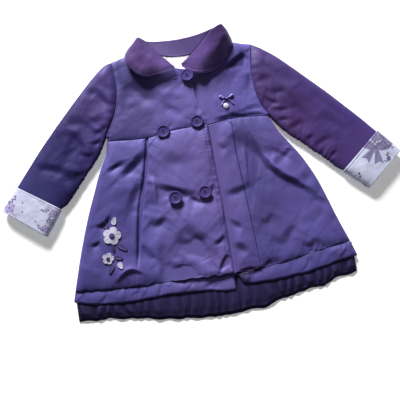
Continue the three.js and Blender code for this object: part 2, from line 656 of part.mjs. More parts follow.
function backSkirt() {
  const guides = [
    nearSide('right', 0),
    nearSide('right', EDGE_STEP),
    nearSide('right', EDGE_REACH),
    nearSide('left', -EDGE_REACH),
    nearSide('left', -EDGE_STEP),
    nearSide('left', 0),
  ];
  const columns = [[0, 0], [1, 0], ...spread(2, 12), [3, 0], [4, 0], [5, 0]];
  return skirt(guides, columns, 'back', backSection);
}

// Evenly spaced columns from a guide line up to the next one
const spread = (guide, count) => Array.from({ length: count }, (_, k) => [guide, k / count]);

function rightSkirt(below) {
  const guides = [
    nearSide('right', 0),
    nearSide('right', EDGE_STEP),
    nearSide('right', EDGE_REACH),
    nearPleat('right', -PLEAT_SHOULDER),
    besidePleat('right', -1),
    besidePleat('right', -0.4),
    besidePleat('right', 0.4),
    besidePleat('right', 1),
    nearPleat('right', PLEAT_SHOULDER),
    (y) => skirtX('lapStart', y),
    (y) => skirtX('frontEdge', y) - EDGE_REACH,
    (y) => skirtX('frontEdge', y) - EDGE_STEP,
    (y) => skirtX('frontEdge', y),
  ];
  const columns = [
    [0, 0], [1, 0], ...spread(2, 5), [3, 0], [4, 0], [5, 0], [6, 0], [7, 0],
    ...spread(8, 2), ...spread(9, 5), [10, 0], [11, 0], [12, 0],
  ];
  return skirt(guides, columns, 'front', (x, y) => {
    const away = (skirtX('frontEdge', y) - x) * 2.5 + 1;
    const wall = skirtWall(x, y, away) - slotDepth('right', x, y);
    return frontSection(below, x, y, Math.max(wall, MIN_SLOT_WALL), SKIRT_SEAT_REACH);
  });
}

function leftSkirt(below) {
  const guides = [
    (y) => skirtX('underEdge', y),
    (y) => skirtX('frontEdge', y),
    nearPleat('left', -PLEAT_SHOULDER),
    besidePleat('left', -1),
    besidePleat('left', -0.4),
    besidePleat('left', 0.4),
    besidePleat('left', 1),
    nearPleat('left', PLEAT_SHOULDER),
    nearSide('left', -EDGE_REACH),
    nearSide('left', -EDGE_STEP),
    nearSide('left', 0),
  ];
  const columns = [
    [0, 0], [0, 0.5], [0, 0.9], ...spread(1, 3), [2, 0], [3, 0], [4, 0], [5, 0], [6, 0],
    ...spread(7, 6), [8, 0], [9, 0], [10, 0],
  ];
  return skirt(guides, columns, 'front', (x, y) => {
    const before = skirtX('leftPleat', y) - x;
    const step = before > 0 ? LEFT_PLEAT_STEP * Math.exp(-before / 20) : 0;
    const wall = skirtWall(x, y, EDGE_REACH * 4) - slotDepth('left', x, y) + step;
    return frontSection(below, x, y, lappedWall(x, Math.max(wall, MIN_SLOT_WALL)), SKIRT_SEAT_REACH);
  });
}

// Hem bands: thin cloth below the padded skirts' lowest seam
const BAND_LEVELS = [0, 0.5, 1];
const BAND_FROM_X = -222;
const BAND_TO_X = 232;
const FRONT_BAND_Z = 5.3;
const BAND_PUCKER = 0.5;

function hemBand({ fromX, toX, slant = 0, line, columns, floorZ, pucker = 0 }) {
  return slab(columns, BAND_LEVELS.length - 1, (i, j) => {
    const v = BAND_LEVELS[j];
    let x = 0;
    let y = hemY('seam', 0);
    for (let pass = 0; pass < GUIDE_PASSES; pass += 1) {
      const start = Math.max(fromX + slant * (1 - v), sideX('right', y) + SEAM_GAP);
      const end = Math.min(toX, sideX('left', y) - SEAM_GAP);
      x = lerp(start, end, i / columns);
      y = lerp(hemY(line, x), hemY('seam', x) - HEM_GAP / 2, v);
    }
    const raised = j === 1 ? pucker * (1 + Math.sin(x * 0.23) * Math.sin(x * 0.071 + 1)) : 0;
    return { x, y, low: floorZ, high: floorZ + BAND_WALL + raised };
  });
}

// The ruffle: each wave rises and falls, more so towards the free edge
const RUFFLE_STEP = RUFFLE_LONG / (RUFFLE_WAVES * RUFFLE_STEPS_PER_WAVE);
const ruffleWave = (x) => {
  const turn = (2 * Math.PI * RUFFLE_WAVES * (x - RUFFLE_FROM_X)) / RUFFLE_LONG;
  return Math.sin(turn + 0.9 * Math.sin(x * 0.045) + 0.5 * Math.sin(x * 0.11));
};

function ruffle({ fromStep, toStep, attachZ, floorZ, longer }) {
  return slab(toStep - fromStep, 2, (i, j) => {
    const x = RUFFLE_FROM_X + (fromStep + i) * RUFFLE_STEP;
    const wave = ruffleWave(x);
    const hem = Math.max(hemY('right', x), hemY('left', x));
    const lines = [
      { y: hemY('seam', x) - 1.5, rise: 0, base: attachZ },
      { y: hem - 0.5, rise: RUFFLE_HEM_RISE, base: attachZ },
      { y: hemY('ruffle', x) - longer + RUFFLE_SCALLOP * wave, rise: RUFFLE_RISE, base: floorZ },
    ];
    const { y, rise, base } = lines[j];
    const low = base + rise * (0.5 + 0.5 * wave);
    return { x, y, low, high: low + RUFFLE_WALL };
  });
}

// Sleeves and cuffs: sections of a flattened tube, moved in by a depth from their surface
function sectionPoint(row, turn, depth, armhole) {
  const { outer, inner, height, lift = 0 } = row;
  const whole = Math.hypot(inner[0] - outer[0], inner[1] - outer[1]);
  const half = whole / 2 - depth;
  const across = Math.cos(turn);
  const share = (whole / 2 - across * half) / whole;
  const seamZ = lift + height * SLEEVE_SEAM_SHARE;
  const upper = Math.sin(turn) >= 0;
  const z = upper
    ? seamZ + (lift + height - depth - seamZ) * Math.sqrt(1 - Math.abs(across) ** TOP_POWER)
    : seamZ - (seamZ - lift - depth) * (1 - Math.abs(across) ** BOTTOM_POWER);
  const bow = armhole && row.bow ? row.bow : 0;
  const shift = bow ? armhole(share).map((value) => value * bow) : [0, 0];
  return [
    lerp(outer[0], inner[0], share) + shift[0],
    lerp(outer[1], inner[1], share) + shift[1],
    z,
  ];
}

// How far the armhole's curve lies from the straight line between its ends
function armholeBow(points) {
  const curve = outline(points);
  const last = points[points.length - 1];
  const first = points[0];
  return (share) => {
    const at = curve(1 - share);
    return [at.x - lerp(last[0], first[0], share), at.y - lerp(last[1], first[1], share)];
  };
}

const turnAt = (i) => (2 * Math.PI * i) / RING_STEPS;
const movedRow = (row, by) => ({
  ...row,
  outer: [row.outer[0] + by, row.outer[1]],
  inner: [row.inner[0] + by, row.inner[1]],
});

// A cuff's row as the sleeve's inside it: smaller all round by the cuff's wall and a gap
function rowInside(row, by) {
  const whole = Math.hypot(row.inner[0] - row.outer[0], row.inner[1] - row.outer[1]);
  const share = by / whole;
  const mix = (a, b, t) => [lerp(a[0], b[0], t), lerp(a[1], b[1], t)];
  return {
    outer: mix(row.outer, row.inner, share),
    inner: mix(row.inner, row.outer, share),
    height: row.height - 2 * by,
    lift: by,
  };
}

const CUFF_END_LIP = 2.2;

function sleeve(rows, cuffRows, armhole, side) {
  const clear = CUFF_WALL + REST_GAP;
  const insideCuff = cuffRows.map((row) => rowInside(row, clear));
  const last = insideCuff[insideCuff.length - 1];
  const before = insideCuff[insideCuff.length - 2];
  const length = Math.hypot(last.outer[0] - before.outer[0], last.outer[1] - before.outer[1]);
  const back = (a, b) => [lerp(a[0], b[0], CUFF_END_LIP / length), lerp(a[1], b[1], CUFF_END_LIP / length)];
  last.outer = back(last.outer, before.outer);
  last.inner = back(last.inner, before.inner);
  const all = [...rows.map((row) => movedRow(row, side * ARMHOLE_GAP)), ...insideCuff];
  const bow = armholeBow(armhole);
  const stations = all.length;
  return hoop(RING_STEPS, stations * 2, (i, k) => {
    const outside = k < stations;
    const row = all[outside ? k : 2 * stations - 1 - k];
    const wall = (row.height - SLEEVE_GAP) / 2;
    return sectionPoint(row, turnAt(i), outside ? 0 : wall, bow);
  });
}

function cuff(rows) {
  const last = rows.length - 1;
  const wallRows = rows.map((row) => ({ row, depth: 0 }));
  const end = rows[last];
  const lip = (end.height - SLEEVE_GAP) / 2;
  const before = rows[last - 1];
  const length = Math.hypot(end.outer[0] - before.outer[0], end.outer[1] - before.outer[1]);
  const share = (CUFF_END_LIP - REST_GAP) / length;
  const mix = (a, b) => [lerp(a[0], b[0], share), lerp(a[1], b[1], share)];
  const behind = { ...end, outer: mix(end.outer, before.outer), inner: mix(end.inner, before.inner) };
  const profile = [
    ...wallRows,
    { row: end, depth: lip },
    { row: behind, depth: lip },
    { row: behind, depth: CUFF_WALL },
    ...wallRows.slice(0, last).reverse().map(({ row }) => ({ row, depth: CUFF_WALL })),
  ];
  return hoop(RING_STEPS, profile.length, (i, k) => sectionPoint(profile[k].row, turnAt(i), profile[k].depth));
}

// The collar: a folded sheet, made from its middle surface moved out both ways
function collarMiddle(row, neckZ) {
  const neck = new THREE.Vector3(...row.neck, neckZ);
  const roll = new THREE.Vector3(...row.roll);
  const mid = new THREE.Vector3(...row.mid);
  const edge = new THREE.Vector3(...row.edge);
  const halfway = mid.clone().lerp(edge, 0.5).setZ(lerp(mid.z, edge.z, FALL_BULGE));
  const turn = row.turn ? new THREE.Vector3(...row.turn) : halfway;
  const out = mid.clone().sub(neck).setZ(0);
  out.normalize().multiplyScalar(Math.min(ROLL_RADIUS, roll.distanceTo(edge) * 0.3));
  const below = new THREE.Vector3(0, 0, -ROLL_RADIUS * 0.8);
  const inside = roll.clone().sub(out).add(below);
  const outside = roll.clone().add(out).add(below);
  return [
    neck,
    neck.clone().lerp(inside, 0.55),
    inside,
    roll,
    outside,
    outside.clone().lerp(mid, 0.5),
    mid,
    turn,
    edge,
  ];
}

function collar(below) {
  const lines = COLLAR_ROWS.map((row) => {
    const seat = seatHeight(below, ...row.neck, COLLAR_SEAT_REACH);
    return collarMiddle(row, seat + REST_GAP + COLLAR_WALL / 2);
  });
  const rows = lines.length - 1;
  const columns = lines[0].length - 1;
  const normal = (i, j) => {
    const along = lines[Math.min(j + 1, rows)][i].clone().sub(lines[Math.max(j - 1, 0)][i]);
    const across = lines[j][Math.min(i + 1, columns)].clone().sub(lines[j][Math.max(i - 1, 0)]);
    return across.cross(along).normalize().multiplyScalar(COLLAR_WALL / 2);
  };
  const positions = [1, -1].flatMap((way) => lines.flatMap((line, j) => line.flatMap((middle, i) => {
    const point = middle.clone().addScaledVector(normal(i, j), way);
    return [point.x, point.y, Math.max(point.z, 0)];
  })));
  return facing(positions, slabIndex(columns + 1, rows, (columns + 1) * (rows + 1)));
}

// The printed lining that shows in the neck, on the inside of the back yoke
function neckLining(below) {
  const neckline = outline(BACK_NECKLINE.slice(1, -1));
  const columns = 8;
  const rows = 3;
  return slab(columns, rows, (i, j) => {
    const top = neckline(i / columns);
    const x = lerp(top.x * 0.9, top.x, j / rows);
    const y = lerp(LINING_FROM_Y, top.y - 1, j / rows);
    const low = seatHeight(below, x, y, LINING_SEAT_REACH) + SEAM_GAP;
    return { x, y, low, high: low + LINING_WALL };
  });
}

const wasm = await Module();
wasm.setup();

// A geometry as a solid for cutting, and back
function solid(geometry) {
  const bare = geometry.clone();
  bare.deleteAttribute('normal');
  bare.deleteAttribute('uv');
  const merged = mergeVertices(bare, 1e-4);
  return new wasm.Manifold(new wasm.Mesh({
    numProp: 3,
    vertProperties: new Float32Array(merged.attributes.position.array),
    triVerts: new Uint32Array(merged.index.array),
  }));
}
function geometryOf(manifold) {
  const mesh = manifold.getMesh();
  const geometry = new THREE.BufferGeometry();
  geometry.setAttribute('position', new THREE.BufferAttribute(mesh.vertProperties, 3));
  geometry.setIndex(new THREE.BufferAttribute(mesh.triVerts, 1));
  return geometry;
}

// A four-hole button: a dished disc with a raised rim
function buttonGeometry() {
  const r = BUTTON_RADIUS;
  const h = BUTTON_HEIGHT;
  const profile = [
    [0, 0], [r * 0.8, 0], [r, h * 0.35], [r * 0.98, h * 0.75], [r * 0.88, h],
    [r * 0.74, h * 0.86], [r * 0.62, h * 0.6], [0, h * 0.55],
  ].map(([x, z]) => new THREE.Vector2(x, z));
  const disc = new THREE.LatheGeometry(profile, 18).rotateX(Math.PI / 2);
  let cut = solid(disc);
  for (let k = 0; k < 4; k += 1) {
    const turn = (Math.PI / 4) + (Math.PI / 2) * k;
    const hole = new THREE.CylinderGeometry(BUTTON_HOLE_RADIUS, BUTTON_HOLE_RADIUS, h * 4, 6)
      .rotateX(Math.PI / 2)
      .translate(BUTTON_HOLE_OFFSET * Math.cos(turn), BUTTON_HOLE_OFFSET * Math.sin(turn), 0);
    cut = cut.subtract(solid(hole));
  }
  return geometryOf(cut);
}

// A patch of cloth laid on others: a ring outline about a centre, moved out from what it lies on
function laidPatch(meshes, centre, reach, sectors, rings, wall, gap) {
  const positions = [];
  const index = [];
  const count = sectors * rings + 1;
  for (const layer of [wall, 0]) {
    const edgeDrop = layer ? 0.35 : 0;
    const put = (x, y, drop) => positions.push(x, y, heightOn(meshes, x, y) + gap + layer - drop);
    put(centre[0], centre[1], 0);
    for (let ring = 1; ring <= rings; ring += 1) {
      for (let k = 0; k < sectors; k += 1) {
        const turn = (2 * Math.PI * k) / sectors;
        const [dx, dy] = reach(turn);
        put(centre[0] + (dx * ring) / rings, centre[1] + (dy * ring) / rings, ring === rings ? edgeDrop : 0);
      }
    }
  }
  const at = (layer, ring, k) => layer * count + (ring === 0 ? 0 : 1 + (ring - 1) * sectors + (k % sectors));
  for (let k = 0; k < sectors; k += 1) {
    index.push(at(0, 0, 0), at(0, 1, k), at(0, 1, k + 1));
    index.push(at(1, 0, 0), at(1, 1, k + 1), at(1, 1, k));
    for (let ring = 1; ring < rings; ring += 1) {
      index.push(at(0, ring, k), at(0, ring + 1, k), at(0, ring + 1, k + 1));
      index.push(at(0, ring, k), at(0, ring + 1, k + 1), at(0, ring, k + 1));
      index.push(at(1, ring, k), at(1, ring + 1, k + 1), at(1, ring + 1, k));
      index.push(at(1, ring, k), at(1, ring, k + 1), at(1, ring + 1, k + 1));
    }
    index.push(at(0, rings, k), at(1, rings, k), at(1, rings, k + 1));
    index.push(at(0, rings, k), at(1, rings, k + 1), at(0, rings, k + 1));
  }
  return facing(positions, index);
}

// Outlines of laid pieces, as a reach from their centre in each direction
const flowerReach = (radius) => (turn) => {
  const r = radius * (0.74 + 0.26 * Math.abs(Math.cos(turn * 2.5)) ** 0.7);
  return [r * Math.cos(turn), r * Math.sin(turn)];
};
const leafReach = (length, width, lean) => (turn) => {
  const along = length * Math.cos(turn);
  const across = width * Math.sin(turn) * (1 - 0.35 * Math.cos(turn));
  return [along * Math.cos(lean) - across * Math.sin(lean), along * Math.sin(lean) + across * Math.cos(lean)];
};
const roundReach = (radius) => (turn) => [radius * Math.cos(turn), radius * Math.sin(turn)];
// A ribbon loop: narrow at the knot, wide at its end
const loopReach = (side) => (turn) => {
  const along = Math.cos(turn);
  const flare = 0.62 - 0.38 * -along * side;
  return [(BOW.loop / 2) * along, BOW.tall * 0.86 * flare * Math.sin(turn)];
};
const tailReach = (side) => (turn) => {
  const along = (BOW.tail / 2) * Math.cos(turn);
  const across = (BOW.ribbon / 2) * Math.sign(Math.sin(turn)) * Math.abs(Math.sin(turn)) ** 0.5;
  const lean = -Math.PI / 2 + side * 0.62;
  return [along * Math.cos(lean) - across * Math.sin(lean), along * Math.sin(lean) + across * Math.cos(lean)];
};

// Assembly
const backYokeMesh = piece('back_yoke', 'shell', backYoke());
const backSkirtMesh = piece('back_skirt', 'shell', backSkirt());
const backs = [backYokeMesh, backSkirtMesh, piece('neck_lining', 'print', neckLining([backYokeMesh]))];
const leftFronts = [
  piece('front_yoke_left', 'shell', leftYoke(backs)),
  piece('front_skirt_left', 'shell', leftSkirt(backs)),
];
const rightFronts = [
  piece('front_yoke_right', 'shell', rightYoke([...backs, ...leftFronts])),
  piece('front_skirt_right', 'shell', rightSkirt([...backs, ...leftFronts])),
];
const fronts = [...leftFronts, ...rightFronts];

piece('back_hem_band', 'shell', hemBand({
  fromX: BAND_FROM_X, toX: BAND_TO_X, line: 'left', columns: 20, floorZ: 0,
}));
piece('front_hem_band_left', 'shell', hemBand({
  fromX: 36, toX: BAND_TO_X, slant: 8, line: 'left', columns: 13, floorZ: FRONT_BAND_Z, pucker: BAND_PUCKER,
}));
piece('front_hem_band_right', 'shell', hemBand({
  fromX: BAND_FROM_X, toX: 31, line: 'right', columns: 17, floorZ: FRONT_BAND_Z, pucker: BAND_PUCKER,
}));
const ruffleSteps = RUFFLE_WAVES * RUFFLE_STEPS_PER_WAVE;
const splitStep = Math.round((RUFFLE_SPLIT_X - RUFFLE_FROM_X) / RUFFLE_STEP);
piece('ruffle_back', 'ruffle', ruffle({
  fromStep: 2, toStep: ruffleSteps, attachZ: 2.0, floorZ: 0, longer: 4,
}));
piece('ruffle_front_right', 'ruffle', ruffle({
  fromStep: 2, toStep: splitStep, attachZ: 3.75, floorZ: 1.5, longer: 0,
}));
piece('ruffle_front_left', 'ruffle', ruffle({
  fromStep: splitStep + 1, toStep: ruffleSteps, attachZ: 3.75, floorZ: 1.5, longer: 0,
}));
piece('sleeve_right', 'sleeve', sleeve(RIGHT_SLEEVE_ROWS, RIGHT_CUFF_ROWS, RIGHT_ARMHOLE, -1));
piece('sleeve_left', 'sleeve', sleeve(LEFT_SLEEVE_ROWS, LEFT_CUFF_ROWS, LEFT_ARMHOLE, 1));
piece('cuff_right', 'print', cuff(RIGHT_CUFF_ROWS));
piece('cuff_left', 'print', cuff(LEFT_CUFF_ROWS));
piece('collar', 'collar', collar([...backs, leftFronts[0], rightFronts[0]]));

for (const { name, x, y } of BUTTONS) {
  const button = piece(name, 'button', buttonGeometry());
  button.position.set(x, y, seatHeight(fronts, x, y, BUTTON_RADIUS) + SEAM_GAP);
}

// The ribbon bow, with its charm hanging from the knot
const chest = [leftFronts[0]];
const tails = [1, -1].map((side) => piece(
  side > 0 ? 'bow_tail_left' : 'bow_tail_right',
  'ribbon',
  laidPatch(chest, [BOW.x + side * BOW.tailX, BOW.y - 6.5], tailReach(side), 10, 1, BOW.tailHigh, SEAM_GAP),
));
const bowBed = [...chest, ...tails];
for (const side of [1, -1]) {
  const at = [BOW.x + side * BOW.loopX, BOW.y + 1];
  const loop = laidPatch(bowBed, at, loopReach(side), 12, 2, BOW.loopHigh, SEAM_GAP);
  piece(side > 0 ? 'bow_loop_left' : 'bow_loop_right', 'ribbon', loop);
}
const knot = laidPatch(bowBed, [BOW.x, BOW.y], roundReach(BOW.knot / 2), 8, 1, BOW.knotHigh, SEAM_GAP);
piece('bow_knot', 'ribbon', knot);
const stone = laidPatch(bowBed, [CHARM.x, CHARM.y], roundReach(CHARM.radius), 14, 2, CHARM.height, SEAM_GAP);
piece('charm', 'charm', stone);

// The applique sprig on the right front skirt: leaves, then buds and flowers over them
const cloth = [rightFronts[1]];
const leaves = LEAVES.map((leaf) => piece(
  leaf.name,
  'leaf',
  laidPatch(
    cloth, [leaf.x, leaf.y], leafReach(leaf.long, leaf.wide, leaf.lean), 12, 1, APPLIQUE_WALL, SEAM_GAP,
  ),
));
const bed = [...cloth, ...leaves];
for (const bud of BUDS) {
  const reach = leafReach(bud.long, bud.wide, bud.lean);
  piece(bud.name, 'petal', laidPatch(bed, [bud.x, bud.y], reach, 12, 1, APPLIQUE_WALL, SEAM_GAP));
}
for (const flower of FLOWERS) {
  const at = [flower.x, flower.y];
  const flat = laidPatch(bed, at, flowerReach(flower.radius), 30, 2, APPLIQUE_WALL, SEAM_GAP);
  const petals = piece(flower.name, 'petal', flat);
  const heart = laidPatch([petals], at, roundReach(flower.heart), 10, 1, APPLIQUE_WALL, SEAM_GAP);
  piece(`${flower.name}_heart`, 'leaf', heart);
}

export default coat;
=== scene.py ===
"""A toddler's padded satin coat, laid flat on its back and buttoned up.

Shapes are worked out in millimetres in the frame's own axes and become metres when a
mesh is made. "Right" and "left" are the wearer's, so the right front lies at -X.
"""
import math

import bmesh
import bpy
import numpy as np
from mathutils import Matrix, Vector
from mathutils.bvhtree import BVHTree


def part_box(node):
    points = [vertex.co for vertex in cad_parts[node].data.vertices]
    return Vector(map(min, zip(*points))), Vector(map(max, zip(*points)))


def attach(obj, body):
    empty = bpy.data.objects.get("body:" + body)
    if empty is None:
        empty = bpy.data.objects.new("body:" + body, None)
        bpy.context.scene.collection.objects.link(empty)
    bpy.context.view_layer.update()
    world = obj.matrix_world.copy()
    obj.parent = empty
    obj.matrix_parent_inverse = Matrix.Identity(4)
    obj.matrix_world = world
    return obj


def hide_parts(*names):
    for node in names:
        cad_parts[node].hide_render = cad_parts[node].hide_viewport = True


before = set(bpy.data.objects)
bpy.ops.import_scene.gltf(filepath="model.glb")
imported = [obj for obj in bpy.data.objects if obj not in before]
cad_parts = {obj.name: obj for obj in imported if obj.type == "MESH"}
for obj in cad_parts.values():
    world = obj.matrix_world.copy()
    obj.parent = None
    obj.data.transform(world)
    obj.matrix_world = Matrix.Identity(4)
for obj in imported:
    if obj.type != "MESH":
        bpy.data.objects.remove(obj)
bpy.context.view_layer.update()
MM = 0.001

# Camera: the photograph's place over the coat, in degrees and metres
CAMERA_AZIMUTH = -8.4
CAMERA_ELEVATION = 78.0
CAMERA_DISTANCE = 1.0
CAMERA_ANGLE = 35.49
CAMERA_TARGET = (-0.0041, -0.12, 0.01)

# Cloth, as the frame's solids have it
BACK_WALL = 5.0
SEAM_GAP = 0.3
SEAM_WALL = 3.8
PUFF_WALL = 7.6
LAP_WALL = 4.4
PUFF_REACH = 15.0
EDGE_REACH = 13.0
EDGE_FLOOR = 2.6
BAND_WALL = 1.6
BAND_FLOOR = 5.3
COLLAR_WALL = 2.2
BACK_HEM_DROP = 3.0
CUFF_WALL = 1.8
COLLAR_LIFT = 2.7
LIFT_RANGE = (76.0, 106.0)
LIFT_HALF_WIDTH = 96.0
LIFT_FADE = 12.0
NECK_X = -3.0
HEM_GAP = 0.25
BUTTON_GAP = 0.25
BAND_ROWS = 17

# Sleeves: the seam's place in their height, their step out from the body, the points round
# them, and about how far one row is from the next
TUBE_SEAM_HEIGHT = 0.47
SLEEVE_SHIFT = 0.1
SLEEVE_SIDES = 144
SLEEVE_PITCH = 27

# Ruffle: its gathers over a length from a start, its grid, and its share under the band
RUFFLE_WAVES = 27
RUFFLE_START = -225
RUFFLE_LENGTH = 450
RUFFLE_STEP = 0.85
RUFFLE_ROWS = 26
RUFFLE_HIDDEN = 0.2

# Points near a hem and a waist to start from, and the rounds in which they settle
SKIRT_START = (-242.0, 3.0)
BAND_START = (-264.0, -242.0)
SETTLING_ROUNDS = 5

# Topstitching: its distance from an edge, and each thread's length and the gap after it
STITCH_INSET = 6.2
COLLAR_STITCH_INSET = 5.4
BAND_STITCH_RISE = 3.0
FRONT_STITCH = (2.6, 1.1)
BAND_STITCH = (2.6, 1.2)
FINE_STITCH = (2.4, 1.0)


def table(columns, *rows):
    """Rows of values under column names; a row may leave out the last columns."""
    return [dict(zip(columns.split(), row)) for row in rows]


SIDE_ROWS = table(
    "y right left",
    (6, -140, 128.5),
    (-20, -144, 139),
    (-40, -153, 151),
    (-60, -162, 164),
    (-80, -169.5, 175),
    (-110, -181, 188),
    (-140, -191, 197.5),
    (-180, -203, 209),
    (-220, -213.5, 222),
    (-256, -222.5, 233),
)
WAIST_ROWS = table(
    "x front back",
    (-142, -1, -1),
    (-75, -5, 5),
    (-30, 0.5, 9),
    (28, 3, 9),
    (75, 8, 6),
    (130, 4.5, 3),
)
HEM_ROWS = table(
    "x seam right left ruffle",
    (-224, -235.5, -251, -251, -277),
    (-175, -240, -262, -262, -281),
    (-120, -242, -263.5, -263, -287),
    (-60, -241.5, -261.5, -263, -297),
    (0, -243.5, -266, -262, -301),
    (32, -243, -269, -261, -300),
    (75, -242, -269, -263, -296),
    (120, -236, -266, -260.5, -285),
    (170, -227, -258, -254, -276),
    (232, -217.5, -244, -242, -260),
)
SKIRT_ROWS = table(
    "y right_pleat front_edge left_pleat under_edge",
    (8, -73, 27, 66, -46),
    (-60, -84.5, 28, 66.5, -46),
    (-120, -100, 30, 69.5, -46),
    (-170, -109, 30.5, 72, -46),
    (-250, -122, 31, 75, -46),
)
PLEAT_ROWS = table(
    "y right left",
    (8, 3.0, 1.4),
    (-14, 5.4, 1.8),
    (-90, 6.4, 2.2),
    (-165, 6.0, 2.0),
    (-195, 2.6, 1.8),
    (-216, 0.0, 1.4),
    (-250, 0.0, 0.9),
)
RIGHT_ARMHOLE = [
    (-140, 8), (-132, 25), (-123, 42), (-117, 64), (-114, 88), (-115, 112), (-118, 136.5),
]
LEFT_ARMHOLE = [
    (127.5, 10), (120, 23), (115.5, 40), (113, 60), (112, 84), (115, 108), (121, 135),
]
SIDE_SEAM_TOP = {"right": -139.5, "left": 128.5}
RIGHT_SHOULDER = [(-118, 136.5), (-98, 140.5), (-60, 150)]
LEFT_SHOULDER = [(121, 135), (92, 141.5), (55, 151)]
RIGHT_NECKLINE = [(-60, 150), (-52, 137), (-40, 124), (-25, 112), (-8, 104), (14, 99.5)]
LEFT_NECKLINE = [(55, 151), (47, 138), (35, 125), (19, 112), (2, 104), (-12, 105), (-36, 115)]
BACK_NECKLINE = [(-60, 150), (-47, 142), (-30, 134.5), (-6, 130.5), (18, 131.5), (38, 141), (55, 151)]
FRONT_EDGE = [(27, 3), (25, 15), (20, 34), (15.5, 52), (14, 74), (14, 99.5)]
UNDER_EDGE = [(-46, 0), (-44, 40), (-40, 80), (-36, 115)]
LINING_FROM_Y = 101.0

BUTTONS = {
    "button_neck": (5, 90),
    "button_upper_right": (-47, 0.5),
    "button_upper_left": (10, 9.5),
    "button_lower_right": (-42.5, -112.5),
    "button_lower_left": (5.5, -110),
}

# Folds: a soft trough (rise below 0) or ridge along the smooth curve through its path's points
YOKE_FOLDS = table(
    "path reach rise",
    ([(-85, 97), (-74, 75), (-57, 61)], 6, -2),
    ([(-76, 111), (-64, 87), (-51, 71)], 5, 1),
    ([(67, 97), (86, 107), (107, 120)], 3.6, -8),
    ([(111, 130), (94, 111), (77, 95)], 5, 1.8),
    ([(112, 86), (103, 70), (98, 49)], 5, -1.8),
    ([(-45, 56), (-27, 39), (-6, 26)], 6, -1.6),
    ([(-60, 65), (-31, 58), (-3, 43)], 9, 1.4),
    ([(-109, 101), (-105, 65), (-116, 35)], 6, -1.2),
    ([(-96, 71), (-80, 44), (-66, 21)], 9, 1.2),
    ([(31, 63), (43, 43), (54, 24)], 7, -1.1),
    ([(37, 11), (59, 13), (76, 17)], 3.6, -3.2),
    ([(37, 4), (61, 7), (81, 8)], 3, 2.4),
    ([(84, 8), (100, 12), (118, 10)], 3.5, 2.4),
    ([(68, 17), (80, 12), (96, 9)], 4.5, -4),
    ([(82, 16), (104, 24), (121, 25)], 5, -2),
    ([(1, 99), (10, 87), (26, 81)], 5, -1),
    ([(-36, 123), (-19, 102), (4, 92)], 8, 0.9),
)
SKIRT_FOLDS = table(
    "path reach rise",
    ([(-80, -25), (-104, -46), (-130, -66)], 6, -4.6),
    ([(-115, -39), (-131, -44), (-147, -53)], 3.5, -3),
    ([(-94, -71), (-113, -103), (-123, -125)], 6, -3.2),
    ([(-151, -125), (-162, -137), (-173, -138)], 2.6, -3.8),
    ([(-171, -163), (-178, -167), (-184, -167)], 2.4, -2.6),
    ([(-108, -225), (-129, -217), (-152, -232)], 2.8, 3.4),
    ([(-70, -85), (-46, -96), (-5, -113)], 6, -5),
    ([(-5, -113), (12, -107), (23, -98)], 3.6, -3),
    ([(-19, -112), (-9, -119), (3, -125)], 3, -3),
    ([(-87, -140), (-77, -147), (-63, -137)], 5, -3.4),
    ([(-76, -180), (-80, -210), (-82, -244)], 4.5, -2.4),
    ([(-104, -176), (-94, -192), (-84, -203)], 5, -2.6),
    ([(-72, -69), (-71, -93), (-72, -119)], 2.8, 2.4),
    ([(-47, -172), (-28, -187), (-7, -171)], 8, -3.4),
    ([(-74, -209), (-48, -224), (-17, -217)], 7, -3.4),
    ([(-29, -156), (-12, -185), (1, -217)], 8, -4.4),
    ([(25, -212), (17, -224), (9, -237)], 2.8, -4.4),
    ([(25, -182), (17, -189), (7, -194)], 3, -2.8),
    ([(-52, -233), (-49, -227), (-47, -218)], 2.2, -2.6),
    ([(-56, -29), (-32, -47), (0, -46)], 9, -1.6),
    ([(72, -10), (98, -40), (130, -52)], 13, -4.6),
    ([(95, -30), (110, -73), (130, -99), (154, -116), (182, -140)], 5, 6),
    ([(121, -52), (137, -60), (156, -76)], 4.5, -2.0),
    ([(84, -33), (80, -70), (77, -106)], 2.4, 1.5),
    ([(20, -112), (51, -113), (84, -103)], 5.5, -3),
    ([(33, -153), (45, -164), (58, -173)], 4.5, -3.4),
    ([(34, -196), (50, -203), (61, -213)], 5, -3),
    ([(31, -30), (42, -34), (52, -42)], 4, -2),
    ([(99, -195), (114, -202), (134, -180)], 7, -2.4),
    ([(146, -210), (158, -215), (171, -205)], 5, -2),
    ([(87, -165), (96, -168), (104, -157)], 4, -1.6),
    ([(89, -230), (93, -238), (97, -248)], 3, -2.8),
    ([(125, -240), (141, -238), (157, -238)], 3, -2.6),
    ([(175, -139), (185, -147), (196, -150)], 4, -1),
    ([(147, -179), (168, -171), (183, -157)], 8, -1.4),
    ([(38, -240), (60, -240), (75, -245)], 3, -2.4),
)


# Curves, tables and noise
def hermite(t, a, b, m, n):
    """A smooth curve from a to b, t being 0 to 1, with the slopes m and n at its ends."""
    return (
        (2 * t**3 - 3 * t**2 + 1) * a + (t**3 - 2 * t**2 + t) * m
        + (3 * t**2 - 2 * t**3) * b + (t**3 - t**2) * n
    )


def column(rows, key, at, name):
    """A table's column at places between its rows, on a smooth curve through them."""
    ordered = sorted(rows, key=lambda row: row[key])
    xs = np.array([row[key] for row in ordered], float)
    ys = np.array([row[name] for row in ordered], float)
    slopes = np.empty_like(ys)
    slopes[1:-1] = (ys[2:] - ys[:-2]) / (xs[2:] - xs[:-2])
    slopes[0] = (ys[1] - ys[0]) / (xs[1] - xs[0])
    slopes[-1] = (ys[-1] - ys[-2]) / (xs[-1] - xs[-2])
    at = np.asarray(at, float)
    i = np.clip(np.searchsorted(xs, at) - 1, 0, len(xs) - 2)
    step = xs[i + 1] - xs[i]
    t = np.clip((at - xs[i]) / step, 0, 1)
    return hermite(t, ys[i], ys[i + 1], step * slopes[i], step * slopes[i + 1])


